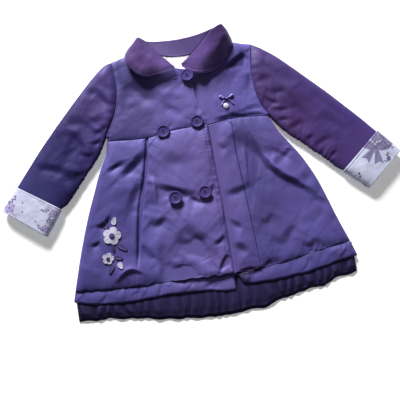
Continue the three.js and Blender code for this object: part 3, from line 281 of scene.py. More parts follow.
def side_x(side, y):
    return column(SIDE_ROWS, "y", y, side)


def waist_y(panel, x):
    return column(WAIST_ROWS, "x", x, panel)


def hem_y(line, x):
    y = column(HEM_ROWS, "x", x, line)
    x = np.asarray(x, float)
    if line == "seam":
        return y + 1.3 * wander(x / 11, 0.5, 91) + 0.5 * wander(x / 4.5, 0.5, 92)
    if line in ("right", "left"):
        return y + 1.6 * wander(x / 26, 0.5, 93)
    return y


def skirt_x(line, y):
    return column(SKIRT_ROWS, "y", y, line)


def curve_points(points, count):
    """Points at even steps along a smooth curve through the given ones."""
    p = np.array(points, float)
    before = np.vstack([p[:1], p[:-1]])
    after = np.vstack([p[1:], p[-1:]])
    slopes = (after - before) / 2
    t = np.linspace(0, 1, 40)[:, None]
    spans = zip(p[:-1], p[1:], slopes[:-1], slopes[1:])
    fine = np.vstack([hermite(t, a, b, m, n) for a, b, m, n in spans])
    length = np.concatenate([[0], np.cumsum(np.linalg.norm(np.diff(fine, axis=0), axis=1))])
    at = np.linspace(0, length[-1], count)
    return np.stack([np.interp(at, length, fine[:, k]) for k in range(p.shape[1])], axis=1)


def smooth(low, high, at):
    t = np.clip((np.asarray(at, float) - low) / (high - low), 0, 1)
    return t * t * (3 - 2 * t)


def mix(a, b, t):
    return a + (b - a) * t


def dome(away, reach):
    """0 at an edge, rising along a quarter circle to 1 at reach from it."""
    return np.sqrt(1 - (1 - np.clip(np.asarray(away) / reach, 0, 1)) ** 2)


def bell(away, wide):
    """1 where away is 0, falling off smoothly to both sides."""
    return np.exp(-((away / wide) ** 2))


NOISE_SIZE = 64
NOISE_TURNS = np.random.default_rng(11).uniform(0, 2 * np.pi, (NOISE_SIZE, NOISE_SIZE))


def eased(t):
    """0 to 1 on a curve that is level at both ends."""
    return t**3 * (t * (t * 6 - 15) + 10)


def turned(u, v, turn):
    """A point after a turn about the origin."""
    return u * math.cos(turn) - v * math.sin(turn), u * math.sin(turn) + v * math.cos(turn)


def wander(x, y, seed=0):
    """Smooth noise between about -1 and 1 over a plane."""
    x = np.asarray(x, float) + 17.3 * seed
    y = np.asarray(y, float) + 9.1 * seed
    xi, yi = np.floor(x).astype(int), np.floor(y).astype(int)
    fx, fy = x - xi, y - yi
    total = 0.0
    for dx in (0, 1):
        for dy in (0, 1):
            turn = NOISE_TURNS[(xi + dx) % NOISE_SIZE, (yi + dy) % NOISE_SIZE]
            slope = np.cos(turn) * (fx - dx) + np.sin(turn) * (fy - dy)
            wx = fx if dx else 1 - fx
            wy = fy if dy else 1 - fy
            total = total + slope * eased(wx) * eased(wy)
    return total * 1.5


def nearest(x, y, line):
    """Distance from each point to a line of points, and how far along the line that is."""
    line = np.asarray(line, float)
    flat = np.stack([np.ravel(x), np.ravel(y)], axis=1)
    best = np.full(len(flat), 1e9)
    along = np.zeros(len(flat))
    side = np.ones(len(flat))
    start = 0.0
    for a, b in zip(line[:-1], line[1:]):
        d = b - a
        length = max(float(np.hypot(*d)), 1e-9)
        rel = flat - a
        t = np.clip((rel @ d) / length**2, 0, 1)
        away = np.hypot(rel[:, 0] - d[0] * t, rel[:, 1] - d[1] * t)
        closer = away < best
        best[closer] = away[closer]
        along[closer] = start + t[closer] * length
        side[closer] = np.sign(d[0] * rel[closer, 1] - d[1] * rel[closer, 0])
        start += length
    return best.reshape(np.shape(x)), along.reshape(np.shape(x)), side.reshape(np.shape(x)), start


TO_WINDOW = (-0.25, 1.0)
STEEP_BANK = 2.2


def folded(folds, x, y):
    """The rise that a list of folds gives.

    A trough drops steeply on the side of the window and comes up again slowly, and a ridge
    climbs slowly and drops steeply behind. The path is the middle of the steep bank, whose
    shade is the dark line that shows.
    """
    total = np.zeros(np.shape(x))
    for k, fold in enumerate(folds):
        line = curve_points(fold["path"], 14)
        far = 9 * fold["reach"]
        low, high = line.min(axis=0) - far, line.max(axis=0) + far
        near = (x > low[0]) & (x < high[0]) & (y > low[1]) & (y < high[1])
        if not near.any():
            continue
        away, along, side, length = nearest(x[near], y[near], line)
        run = line[-1] - line[0]
        side = side * np.sign(run[0] * TO_WINDOW[1] - run[1] * TO_WINDOW[0])
        taper = np.sin(np.pi * np.clip(0.04 + 0.92 * along / length, 0, 1))
        reach = fold["reach"] * (1 + 0.3 * wander(along / 14, k * 3.1))
        bank = np.sign(fold["rise"])
        across = -bank * away * side / reach + STEEP_BANK / 2
        rounded = np.sqrt(across**2 + 0.04) - 0.2
        main = np.where(across > 0, 1 - smooth(0, STEEP_BANK, across), np.exp(-rounded / 3.2))
        total[near] += fold["rise"] * taper * main * (1 - smooth(5, 9, np.abs(across)))
    return total


def loose_folds(seed, count, box, lean, spread, long, reach, rise):
    """Small chance folds over a box, most of them near one lean."""
    chance = np.random.default_rng(seed)
    folds = []
    for _ in range(count):
        x, y = chance.uniform(box[0], box[2]), chance.uniform(box[1], box[3])
        turn = math.radians(chance.normal(lean, spread))
        half = chance.uniform(*long) / 2
        dx, dy = half * math.cos(turn), half * math.sin(turn)
        bend = chance.normal(0, 0.18) * half
        middle = (x - bend * math.sin(turn), y + bend * math.cos(turn))
        folds.append({
            "path": [(x - dx, y - dy), middle, (x + dx, y + dy)],
            "reach": chance.uniform(*reach),
            "rise": chance.uniform(*rise) * chance.choice((-1, 1)),
        })
    return folds


def puckers(away, along, seed, high, long, wave):
    """Small creases square to a seam: they start at it and fade out away from it."""
    skew = along + away * 0.35 * wander(along / 60, seed + 0.5)
    fine = wander(skew / wave, away / (long * 3), seed)
    ridge = np.sign(fine) * np.abs(fine) ** 1.2
    strength = 0.35 + 0.65 * np.clip(wander(along / 45, seed * 1.7 + 3.3) + 0.45, 0, 1)
    return high * ridge * strength * np.exp(-away / long) * (1 - bell(away, 1.6))


# Meshes
# Painted crease shading: how far round each point it looks, in grid steps, and how strongly it paints shade
# into creases and light onto crests
HOLLOW_REACH = 4
HOLLOW_GAIN = 0.16


def grid_faces(rows, columns, wrap_columns=False):
    across = columns if wrap_columns else columns - 1
    j, i = np.meshgrid(np.arange(rows - 1), np.arange(across), indexing="ij")
    nxt = (i + 1) % columns
    corners = [j * columns + i, j * columns + nxt, (j + 1) * columns + nxt, (j + 1) * columns + i]
    return np.stack(corners, axis=-1).reshape(-1, 4)


def capped_faces(rings, around):
    """The faces of rings of points one after another, with one face over each end."""
    faces = [list(face) for face in grid_faces(rings, around, wrap_columns=True)]
    faces.append(list(range(around))[::-1])
    faces.append([(rings - 1) * around + i for i in range(around)])
    return faces


def slab_faces(rows, columns):
    """Two layers of a grid, the upper one first, and the wall round their edge."""
    upper = grid_faces(rows, columns)
    count = rows * columns
    lower = upper[:, ::-1] + count
    rim = np.array([
        *range(columns - 1),
        *(j * columns + columns - 1 for j in range(rows - 1)),
        *((rows - 1) * columns + i for i in range(columns - 1, 0, -1)),
        *(j * columns for j in range(rows - 1, 0, -1)),
    ])
    nxt = np.roll(rim, -1)
    wall = np.stack([nxt, rim, rim + count, nxt + count], axis=1)
    return np.vstack([upper, lower, wall])


def painted_crease_shading(high, wrap=False):
    """The painted shading of each point of a grid: painted shade down in a crease, painted light on a
    crest.
    """
    around = np.zeros(high.shape)
    for step in range(1, HOLLOW_REACH + 1):
        rows = np.pad(high, ((step, step), (0, 0)), "edge")
        columns = np.pad(high, ((0, 0), (step, step)), "wrap" if wrap else "edge")
        around += rows[: -2 * step] + rows[2 * step:] + columns[:, : -2 * step] + columns[:, 2 * step:]
    return np.clip(1 + HOLLOW_GAIN * (high - around / (4 * HOLLOW_REACH)), 0.3, 1.15)


def make_object(name, points, faces, slot, painted_shading=None):
    """A mesh object from points in millimetres, riding on the coat, with painted light and shade on its
    points that its colour is multiplied by.
    """
    mesh = bpy.data.meshes.new(f"{name}_fine")
    mesh.from_pydata((np.asarray(points) * MM).tolist(), [], [list(map(int, f)) for f in faces])
    mesh.update()
    mesh.validate()
    mesh.polygons.foreach_set("use_smooth", [True] * len(mesh.polygons))
    mesh.materials.append(MATERIALS[slot])
    piece = bpy.data.objects.new(f"{name}_fine", mesh)
    bpy.context.scene.collection.objects.link(piece)
    if painted_shading is None:
        painted_shading = np.ones(len(points))
    elif len(painted_shading) < len(points):
        painted_shading = np.concatenate([painted_shading, np.ones(len(points) - len(painted_shading))])
    shade = mesh.color_attributes.new("painted_shading", "FLOAT_COLOR", "POINT")
    shade.data.foreach_set("color", np.repeat(painted_shading, 4).astype(np.float32))
    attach(piece, "root")
    return piece


def closed_object(name, points, faces, slot, painted_shading=None):
    """The object of a closed mesh, its faces turned to point out."""
    piece = make_object(name, points, faces, slot, painted_shading)
    shape = bmesh.new()
    shape.from_mesh(piece.data)
    bmesh.ops.recalc_face_normals(shape, faces=shape.faces)
    shape.to_mesh(piece.data)
    shape.free()
    return piece


def slab_object(name, x, y, high, low, slot, painted_shading=None):
    points = np.vstack([
        np.stack([x, y, high], axis=-1).reshape(-1, 3),
        np.stack([x, y, low], axis=-1).reshape(-1, 3),
    ])
    painted_shading = painted_crease_shading(high) if painted_shading is None else painted_shading
    return make_object(name, points, slab_faces(*x.shape), slot, painted_shading.ravel())


def coons(bottom, top, start, end):
    """A grid of points between four lines of points that meet at their ends."""
    u = np.linspace(0, 1, len(bottom))[None, :, None]
    v = np.linspace(0, 1, len(start))[:, None, None]
    b, t, s, e = (np.asarray(line, float) for line in (bottom, top, start, end))
    grid = (1 - v) * b[None] + v * t[None] + (1 - u) * s[:, None] + u * e[:, None]
    grid = grid - ((1 - u) * (1 - v) * b[0] + u * (1 - v) * b[-1] + (1 - u) * v * t[0] + u * v * t[-1])
    return grid[..., 0], grid[..., 1]


def joined(first, second, count, share):
    """Two lines joined at a corner, which falls on a point at the given share."""
    split = int(round((count - 1) * share))
    return np.vstack([curve_points(first, split + 1)[:-1], curve_points(second, count - split)])


# Layers of the body
def collar_lift(x, y):
    beside = smooth(LIFT_HALF_WIDTH, LIFT_HALF_WIDTH + LIFT_FADE, np.abs(x - NECK_X))
    return COLLAR_LIFT * smooth(*LIFT_RANGE, y) * (1 - beside)


def shoulder_y(x):
    right = np.interp(x, *zip(*RIGHT_SHOULDER))
    left = np.interp(x, *zip(*LEFT_SHOULDER[::-1]))
    return np.where(x < NECK_X, right, left)


def inside_edge(x, y):
    """How far a point lies inside the coat's rolled side and shoulder seams."""
    side = np.where(y < 6, np.minimum(x - side_x("right", y), side_x("left", y) - x), 1e3)
    shoulder = np.where(y < 60, 1e3, shoulder_y(x) - y)
    return np.clip(np.minimum(side, shoulder), 0, None)


def back_top(x, y):
    return BACK_WALL + collar_lift(x, y)


def press_under_buttons(x, y, high):
    """The sewn-on buttons hold the cloth down and pull small creases towards them."""
    for k, (name, (bx, by)) in enumerate(BUTTONS.items()):
        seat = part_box(name)[0].z / MM - BUTTON_GAP
        away = np.hypot(x - bx, y - by)
        turn = np.arctan2(y - by, x - bx)
        cap = seat + (np.clip(away - 10.2, 0, None) / 2.8) ** 1.4
        pull = 0.55 * wander(turn * 2.4 + k, k * 5.0) * bell(away - 15, 7)
        high = np.minimum(high - 0.9 * bell(away, 14) + pull, cap)
    return high


# Yokes
def waist_line(panel, from_x, to_x, count):
    x = np.linspace(from_x, to_x, count)
    return np.stack([x, waist_y(panel, x) + SEAM_GAP / 2], axis=1)


def armhole_line(panel, side, armhole, count):
    x = SIDE_SEAM_TOP[side]
    corner = (x, float(waist_y(panel, x)) + SEAM_GAP / 2)
    return joined([corner, armhole[0]], armhole, count, 0.065)


def front_bed(x, y):
    """What the fronts lie on: the back, and the lining that shows in the neck."""
    lining = 1.1 * smooth(95, 103, y) * (1 - smooth(46, 56, np.abs(x - NECK_X)))
    return back_top(x, y) + lining + SEAM_GAP


def right_bed(x, y):
    """What the right front lies on: a step up at the left one's hidden edge, and a bridge to it."""
    edge_x, edge_y = zip(*UNDER_EDGE)
    hidden = np.interp(y, edge_y, edge_x)
    lap = LAP_WALL + SEAM_GAP
    step = smooth(hidden - 12, hidden - 1, x)
    return front_bed(x, y) + lap * step, lap * (smooth(hidden - 36, hidden + 3, x) - step)


def softness(x, y, seed):
    """The unevenness of wadding under satin: soft mounds that meet in faint creases."""
    bent = x + 6 * wander(x / 40, y / 40, seed + 7)
    mounds = np.abs(wander(bent / 30, y / 36, seed)) ** 0.8
    small = np.abs(wander(bent / 12, y / 15, seed + 4)) ** 0.8
    busy = 0.6 + 0.4 * wander(x / 55, y / 55, seed + 9)
    return busy * (1.2 * (mounds - 0.35) + 0.15 * (small - 0.35))


def sewn(full, rim, away, reach):
    """Padding that rounds down to a seam."""
    return rim + (full - rim) * dome(away, reach)


def stitched_edge(wall, away):
    """Padding that rounds down to the front edge, with a dip along its line of stitches."""
    return sewn(wall, 1.6, away, 5) - 0.5 * bell(away - STITCH_INSET - 0.3, 1.3)


def padded_front(name, x, y, bed, wall, bridge=0.0, painted_brightness=1.0):
    """A padded panel on its bed; the bridge softens a step that it lies over, and its last factor is
    painted light and shade, multiplied into the painted crease shading.
    """
    high = bed + bridge + mix(1.3, wall, dome(inside_edge(x, y), EDGE_REACH))
    high = press_under_buttons(x, y, high)
    high = np.maximum(high, bed + 1.2)
    piece = slab_object(name, x, y, high, bed, "body_satin", painted_brightness * painted_crease_shading(high))
    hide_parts(name)
    return piece


def back_panel(name, x, y):
    lift = collar_lift(x, y)
    low = lift + EDGE_FLOOR * (1 - dome(inside_edge(x, y) * 1.6, EDGE_REACH))
    piece = slab_object(name, x, y, lift + BACK_WALL, low, "body_satin")
    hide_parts(name)
    return piece


def back_yoke():
    columns, rows = 92, 52
    shoulder = int(round((columns - 1) * 6 / 25))
    rest = joined(BACK_NECKLINE, LEFT_SHOULDER[::-1], columns - shoulder, 13 / 19)
    top = np.vstack([curve_points(RIGHT_SHOULDER, shoulder + 1)[:-1], rest])
    x, y = coons(
        waist_line("back", SIDE_SEAM_TOP["right"], SIDE_SEAM_TOP["left"], columns),
        top,
        armhole_line("back", "right", RIGHT_ARMHOLE, rows),
        armhole_line("back", "left", LEFT_ARMHOLE, rows),
    )
    return back_panel("back_yoke", x, y)


def yoke_wall(x, y, waist, armhole, front, seed):
    away_waist, along_waist, _, _ = nearest(x, y, waist)
    away_arm, along_arm, _, _ = nearest(x, y, armhole)
    away_front = nearest(x, y, front)[0] if front is not None else np.full(x.shape, 1e3)
    away = np.minimum(away_waist, away_arm)
    full = mix(SEAM_WALL, PUFF_WALL - 1.2, 1 - np.exp(-np.minimum(away, away_front * 2) / PUFF_REACH))
    loose = loose_folds(seed + 50, 12, (-125, 5, 122, 130), 58, 28, (24, 60), (4, 8), (0.5, 1.1))
    full = full + folded(YOKE_FOLDS, x, y) + folded(loose, x, y) + softness(x, y, seed)
    full = full + puckers(away_waist, along_waist, seed + 1, 0.9, 9, 6.5)
    full = full + puckers(away_arm, along_arm, seed + 2, 0.8, 9, 7.5)
    wall = sewn(sewn(full, 3.2, away_waist, 4), 4.6, away_arm, 4)
    return wall if front is None else stitched_edge(wall, away_front)


def front_yoke_right():
    columns, rows = 104, 88
    waist = waist_line("front", SIDE_SEAM_TOP["right"], 27, columns)
    armhole = armhole_line("front", "right", RIGHT_ARMHOLE, rows)
    front = curve_points(FRONT_EDGE, rows)
    x, y = coons(waist, joined(RIGHT_SHOULDER, RIGHT_NECKLINE, columns, 0.4), armhole, front)
    wall = yoke_wall(x, y, waist, armhole, front, 1)
    bed, bridge = right_bed(x, y)
    # Painted light and shade: the right yoke darker towards its side seam and a little lighter towards its
    # front edge
    painted_brightness = mix(0.76, 1.14, smooth(-80, -28, x))
    return padded_front("front_yoke_right", x, y, bed, wall, bridge, painted_brightness)


def front_yoke_left():
    columns, rows = 104, 88
    waist = waist_line("front", -46, SIDE_SEAM_TOP["left"], columns)
    armhole = armhole_line("front", "left", LEFT_ARMHOLE, rows)
    top = joined(LEFT_NECKLINE[::-1], LEFT_SHOULDER[::-1], columns, 0.6)
    x, y = coons(waist, top, curve_points(UNDER_EDGE, rows), armhole)
    wall = yoke_wall(x, y, waist, armhole, None, 5)
    wall = mix(LAP_WALL, wall, smooth(33, 51, x))
    # Painted light: the left yoke lighter all over, and more so beyond x = 70 towards its side
    painted_brightness = mix(1.05, 1.25, smooth(20, 70, x))
    return padded_front("front_yoke_left", x, y, front_bed(x, y), wall, painted_brightness=painted_brightness)


# Skirts
def skirt_grid(guides, counts, rows, panel):
    """A skirt's points: columns shared out between lines that run down it."""
    which = np.concatenate([np.full(n, k) for k, n in enumerate(counts)] + [[len(counts) - 1]])
    step = np.concatenate([np.arange(n) / n for n in counts] + [[1.0]])
    hem_gap = HEM_GAP if panel == "front" else HEM_GAP - BACK_HEM_DROP
    even = np.linspace(0, 1, rows)[:, None]
    level = mix(even, smooth(0, 1, even), 0.55)
    y = np.broadcast_to(mix(*SKIRT_START, level), (rows, len(which))).copy()
    every = np.arange(len(which))
    for _ in range(SETTLING_ROUNDS):
        lines = np.stack([guide(y) for guide in guides])
        x = mix(lines[which, :, every].T, lines[which + 1, :, every].T, step)
        y = mix(hem_y("seam", x) + hem_gap, waist_y(panel, x) - SEAM_GAP / 2, level)
    return x, y


def lines_down(*groups):
    """Lines down a skirt: a side, a pleat or an edge by name, and the offsets from it."""
    def at(line, offset):
        place = side_x if line in ("right", "left") else skirt_x
        return lambda y: place(line, y) + offset
    return [at(line, offset) for line, *offsets in groups for offset in offsets]


def back_skirt():
    lines = lines_down(("right", 0, 13), ("left", -13, 0))
    x, y = skirt_grid(lines, [7, 90, 7], 80, "back")
    return back_panel("back_skirt", x, y)


def skirt_wall(x, y, edge, seed, chance_folds):
    """A front skirt's padding, with its folds, and its puckers along the seams."""
    to_hem = y - hem_y("seam", x)
    to_waist = waist_y("front", x) - y
    away = np.clip(np.minimum(to_waist, np.minimum(to_hem * 1.5, edge * 2.5 + 1)), 0, None)
    to_hem = np.clip(to_hem, 0, None)
    to_waist = np.clip(to_waist, 0, None)
    full = mix(SEAM_WALL, PUFF_WALL, 1 - np.exp(-away / PUFF_REACH))
    box = (-210, -235, 215, -8)
    loose = loose_folds(seed + 50, chance_folds, box, 62, 34, (36, 100), (5, 10), (0.6, 1.7))
    full = full + 1.3 * folded(SKIRT_FOLDS, x, y) + folded(loose, x, y) + softness(x, y, seed)
    full = full + puckers(to_waist, x, seed + 1, 1.3, 10, 6.5) + puckers(to_hem, x, seed + 2, 2.2, 9, 6.0)
    return sewn(sewn(full, 3.6, to_waist, 3), 2.6, to_hem, 3.5)


def pleated(wall, x, y, line, side):
    """A pleat's slot, with a raised fold on its bank towards -X and a shallow dip on its bank towards +X.
    """
    away = x - skirt_x(line, y)
    deep = column(PLEAT_ROWS, "y", y, side)
    wide = 2.9 if side == "right" else 1.0
    wide = wide * (0.6 + 0.5 * (1 - smooth(-70, 8, y)) - 0.25 * (1 - smooth(-200, -150, y)))
    share = deep / 5.4
    wall = wall + share * (0.9 * bell(away + 6, 5) - 0.6 * bell(away - 6, 7))
    return wall - deep * np.exp(-((np.abs(away) / wide) ** 2.4))


def lean_over(x, y, line, by):
    """Moves the fold beside a pleat's slot a little over it."""
    away = x - skirt_x(line, y)
    return x + by * (1 - smooth(-20, 8, y)) * bell(away + 3.2, 1.7) * smooth(-235, -200, y)


def front_skirt_right():
    lines = lines_down(
        ("right", 0, 4, 13), ("right_pleat", -9, -3.4, 0, 3.4, 9),
        ("under_edge", -5), ("front_edge", -13, -4, 0),
    )
    x, y = skirt_grid(lines, [5, 6, 30, 6, 7, 7, 6, 22, 42, 8, 6], 150, "front")
    edge = skirt_x("front_edge", y) - x
    wall = pleated(skirt_wall(x, y, edge, 11, 30), x, y, "right_pleat", "right")
    front = np.stack([skirt_x("front_edge", y[:, -1]), y[:, -1]], axis=1)
    away_front, along_front, _, _ = nearest(x, y, front)
    pulled = mix(0.7, 2.6, smooth(95, 150, along_front))
    wall = wall + pulled * puckers(away_front, along_front, 15, 1.0, 6, 5)
    wall = np.maximum(stitched_edge(wall, away_front), 1.3)
    bed, bridge = right_bed(x, y)
    return padded_front("front_skirt_right", lean_over(x, y, "right_pleat", 0.5), y, bed, wall, bridge)


def front_skirt_left():
    lines = lines_down(
        ("under_edge", 0), ("front_edge", -8, 4), ("left_pleat", -9, -3, 0, 3, 9), ("left", -13, -4, 0),
    )
    x, y = skirt_grid(lines, [18, 8, 16, 6, 6, 6, 6, 66, 6, 5], 150, "front")
    wall = skirt_wall(x, y, np.full(x.shape, 1e3), 21, 14)
    before = skirt_x("left_pleat", y) - x
    wall = wall + np.where(before > 0, 1.6 * np.exp(-np.clip(before, 0, None) / 20), 0)
    wall = pleated(wall, x, y, "left_pleat", "left")
    wall = np.maximum(mix(LAP_WALL, wall, smooth(33, 51, x)), 1.3)
    # Painted light and shade: darker in a strip round x = 92 above the hem, and lighter round x = 165 not
    # far above the hem
    shaded = 0.28 * bell(x - 92, 26) * smooth(-220, -170, y)
    painted_brightness = 1 - shaded + 0.25 * bell(x - 165, 42) * bell(y + 195, 42)
    x = lean_over(x, y, "left_pleat", 1.0)
    return padded_front("front_skirt_left", x, y, front_bed(x, y), wall, painted_brightness=painted_brightness)


# Hem bands and ruffles
def hem_band(name, from_x, to_x, slant, line, floor, columns, puff, seed):
    """The unpadded band under a skirt's lowest seam."""
    top_gap = HEM_GAP if floor > 0 else HEM_GAP + BACK_HEM_DROP
    v = np.linspace(0, 1, BAND_ROWS)[:, None]
    u = np.linspace(0, 1, columns)[None]
    y = np.broadcast_to(mix(*BAND_START, v), (BAND_ROWS, columns)).copy()
    for _ in range(SETTLING_ROUNDS):
        start = np.maximum(from_x + slant * (1 - v), side_x("right", y) + SEAM_GAP)
        end = np.minimum(to_x, side_x("left", y) - SEAM_GAP)
        x = mix(start, end, u)
        y = mix(hem_y(line, x), hem_y("seam", x) - top_gap, v)
    bulge = puff * np.sin(np.pi * np.clip(v * 0.92 + 0.08, 0, 1)) ** 0.7
    box = (from_x, -268, to_x, -222)
    loose = loose_folds(seed, int((to_x - from_x) / 7), box, 58, 26, (12, 40), (1.6, 3.6), (0.4, 1.1))
    crease = puff * folded(loose, x, y) * (0.35 + 0.65 * np.sin(np.pi * v))
    ends = dome(np.minimum(x - x[:, :1], x[:, -1:] - x), 4)
    high = floor + 0.5 + (BAND_WALL - 0.5) * dome(v * 20, 2.5) + (bulge + crease) * ends
    high = np.maximum(high, floor + 0.5)
    # Painted shade: a dark shadow along the band's top between x 34 and 80, under the skirt's padded edge;
    # the top rows darker under the seam; and the band darker from x 33 to 62, where it tucks under the
    # right front
    painted_seam_shadow = smooth(34, 44, x) * (1 - smooth(62, 80, x)) * smooth(0.6, 0.85, v)
    painted_tuck_shade = (1 - smooth(42, 62, x)) * (x > 33)
    painted_shading = painted_crease_shading(high) * (1 - 0.92 * painted_seam_shadow) * (1 - 0.5 * smooth(0.8, 1, v)) * (1 - 0.78 * painted_tuck_shade)
    piece = slab_object(name, x, y, high, np.full(x.shape, floor), "body_satin", painted_shading)
    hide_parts(name)
    return piece


def ruffle_wave(x, v):
    """The gathers' rise and fall: uneven, with sharper crests, and drifting as they go down."""
    drift = x + 7.0 * wander(x / 37, v * 0.9, 31) * v
    turn = 2 * np.pi * RUFFLE_WAVES * (drift - RUFFLE_START) / RUFFLE_LENGTH
    turn = turn + 1.8 * np.sin(x * 0.045) + 1.3 * np.sin(x * 0.11)
    main = np.sin(turn + 0.5 * np.sin(turn)) * (0.65 + 0.45 * wander(x / 31, v * 0.5, 32))
    fine = wander(drift / 6.5, v * 0.8, 33) * (1 - 0.8 * v)
    return np.clip(main + 0.5 * fine, -1, 1)


def ruffle(name, from_x, to_x, attach_z, floor_z, longer):
    columns = int((to_x - from_x) / RUFFLE_STEP)
    x = np.broadcast_to(np.linspace(from_x, to_x, columns)[None], (RUFFLE_ROWS, columns))
    v = np.linspace(0, 1, RUFFLE_ROWS)[:, None]
    hem = np.maximum(hem_y("right", x), hem_y("left", x))
    wave = ruffle_wave(x, v)
    shown = smooth(RUFFLE_HIDDEN, 1, v)
    free_y = hem_y("ruffle", x) - longer + 0.4 * ruffle_wave(x, 1.0) + 3.4 * wander(x / 24, 0.5, 35)
    under_band = mix(hem_y("seam", x) - 1.5, hem - 0.5, v / RUFFLE_HIDDEN)
    hanging = mix(hem - 0.5, free_y, (v - RUFFLE_HIDDEN) / (1 - RUFFLE_HIDDEN))
    y = np.where(v < RUFFLE_HIDDEN, under_band, hanging)
    base = mix(attach_z, floor_z, shown)
    rise = mix(0.3, 5, shown**0.6) * smooth(0.1, 0.24, v) * (1 - 0.55 * smooth(0.7, 1, v))
    low = base + rise * (0.5 + 0.5 * wave)
    piece = slab_object(name, x, y, low + 1.0, low, "ruffle_cloth")
    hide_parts(name)
    return piece


# Sleeves and cuffs
SLEEVE_ROWS = {
    "right": table(
        "outer inner height bow",
        ((-118, 136.5), (-140, 8), 11.5, 1),
        ((-131, 131), (-145, -3), 14.5, 0.86),
        ((-152, 112), (-151, -16), 15.5, 0.55),
        ((-176, 86), (-162, -33), 16, 0.25),
        ((-201, 58), (-176, -49), 15.5, 0.08),
        ((-226, 29), (-190, -67), 15, 0),
        ((-250, 0), (-204, -84), 14.5, 0),
        ((-272, -29), (-215, -96), 14, 0),
    ),
    "left": table(
        "outer inner height bow",
        ((121, 135), (127.5, 10), 11.5, 1),
        ((136, 125), (137, -8), 14.5, 0.86),
        ((158, 107), (147.5, -23), 15.5, 0.5),
        ((183, 82), (163, -39), 16, 0.22),
        ((208, 56), (180, -55), 15.5, 0.05),
        ((232, 31), (196, -71), 15, 0),
        ((255, 5), (210, -84), 14.5, 0),
        ((278, -21), (221, -96), 14, 0),
    ),
}
CUFF_ROWS = {
    "right": table(
        "outer inner height",
        ((-294, -56), (-224, -104), 17.5),
        ((-302, -67.5), (-232, -116), 18),
        ((-311, -80), (-241, -130), 18),
        ((-319.5, -92), (-251, -144.5), 17),
    ),
    "left": table(
        "outer inner height",
        ((301, -47), (231, -107), 17.5),
        ((311, -59.5), (243, -118), 18),
        ((321.5, -72.5), (255.5, -129), 18),
        ((331.5, -85.5), (267.5, -140.5), 17),
    ),
}
SLEEVE_GAP = 3.0
CUFF_FLAT = 6
SLEEVE_FOLDS = {
    "right": table(
        "path reach rise",
        ([(-138, 26), (-150, 18), (-161, 17)], 3.4, -3.4),
        ([(-141, 43), (-155, 38), (-166, 42)], 5, -2),
        ([(-149, 4), (-158, -1), (-166, -1)], 2.6, -3.4),
        ([(-161, -18), (-172, -20), (-188, -12)], 3.6, -2.6),
        ([(-180, -47), (-190, -49), (-198, -47)], 2.8, -2.4),
        ([(-213, 26), (-184, 10), (-175, -39)], 6, -3.6),
        ([(-260, -25), (-223, -36), (-190, -59)], 7, -3.4),
        ([(-201, 47), (-170, 35), (-148, 4)], 6, -2),
        ([(-166, 94), (-141, 84), (-130, 54)], 6, -2),
        ([(-118, 60), (-130, 65), (-141, 84)], 5, -2.6),
        ([(-116, 88), (-130, 97), (-141, 117)], 6, -1.8),
        ([(-139, 131), (-159, 105), (-178, 79)], 8, 1.8),
        ([(-138, 84), (-161, 59), (-187, 28)], 8, 1.8),
        ([(-145, 106), (-173, 68), (-203, 30)], 8, -2.2),
        ([(-191, 56), (-213, 28), (-243, -5)], 8, 1.5),
        ([(-189, 11), (-211, -16), (-230, -41)], 7, -2),
        ([(-218, 12), (-241, -15), (-259, -40)], 8, -1.4),
        ([(-204, -38), (-219, -59), (-230, -77)], 6, 1.4),
        ([(-252, -31), (-263, -46), (-274, -58)], 6, 1.2),
    ),
    "left": table(
        "path reach rise",
        ([(126, 38), (138, 29), (151, 24)], 3.4, -3.4),
        ([(132, 51), (148, 45), (165, 46)], 4, -2.4),
        ([(132, 16), (149, 13), (166, 14)], 3.2, -3.4),
        ([(141, -6), (151, -4), (162, -6)], 2.8, -3.2),
        ([(152, -24), (170, -16), (186, -12)], 4.2, -2.6),
        ([(178, -47), (188, -41), (196, -39)], 2.8, -2.6),
        ([(190, -59), (206, -50), (224, -44)], 4.4, -2.2),
        ([(212, -80), (221, -74), (230, -72)], 2.8, -2.4),
        ([(116, 64), (129, 73), (145, 71)], 5, -2.2),
        ([(134, 101), (154, 80), (170, 56)], 8, 1.6),
        ([(143, 60), (169, 35), (191, 7)], 7, 1.8),
        ([(152, 34), (181, 9), (206, -23)], 6.5, -2.4),
        ([(176, 73), (205, 44), (232, 8)], 8, -1.8),
        ([(195, 49), (224, 20), (254, -13)], 7, 1.6),
        ([(217, 0), (239, -24), (255, -44)], 7, -2),
        ([(245, -8), (261, -28), (275, -44)], 6, 1.3),
        ([(132, 131), (138, 108), (131, 84)], 6, 1.4),
    ),
}


def row_inside(row, by):
    whole = math.hypot(row["inner"][0] - row["outer"][0], row["inner"][1] - row["outer"][1])
    share = by / whole
    outer = tuple(mix(a, b, share) for a, b in zip(row["outer"], row["inner"]))
    inner = tuple(mix(a, b, share) for a, b in zip(row["inner"], row["outer"]))
    return {"outer": outer, "inner": inner, "height": row["height"] - 2 * by, "lift": by, "bow": 0}


def tube(rows, at):
    """A flattened tube's rows read at places between them, 0 being the first row."""
    numbers = [
        {
            "at": k, "ox": row["outer"][0], "oy": row["outer"][1],
            "ix": row["inner"][0], "iy": row["inner"][1],
            "height": row["height"], "lift": row.get("lift", 0), "bow": row.get("bow", 0),
        }
        for k, row in enumerate(rows)
    ]
    return {name: column(numbers, "at", at, name)[:, None] for name in numbers[0] if name != "at"}


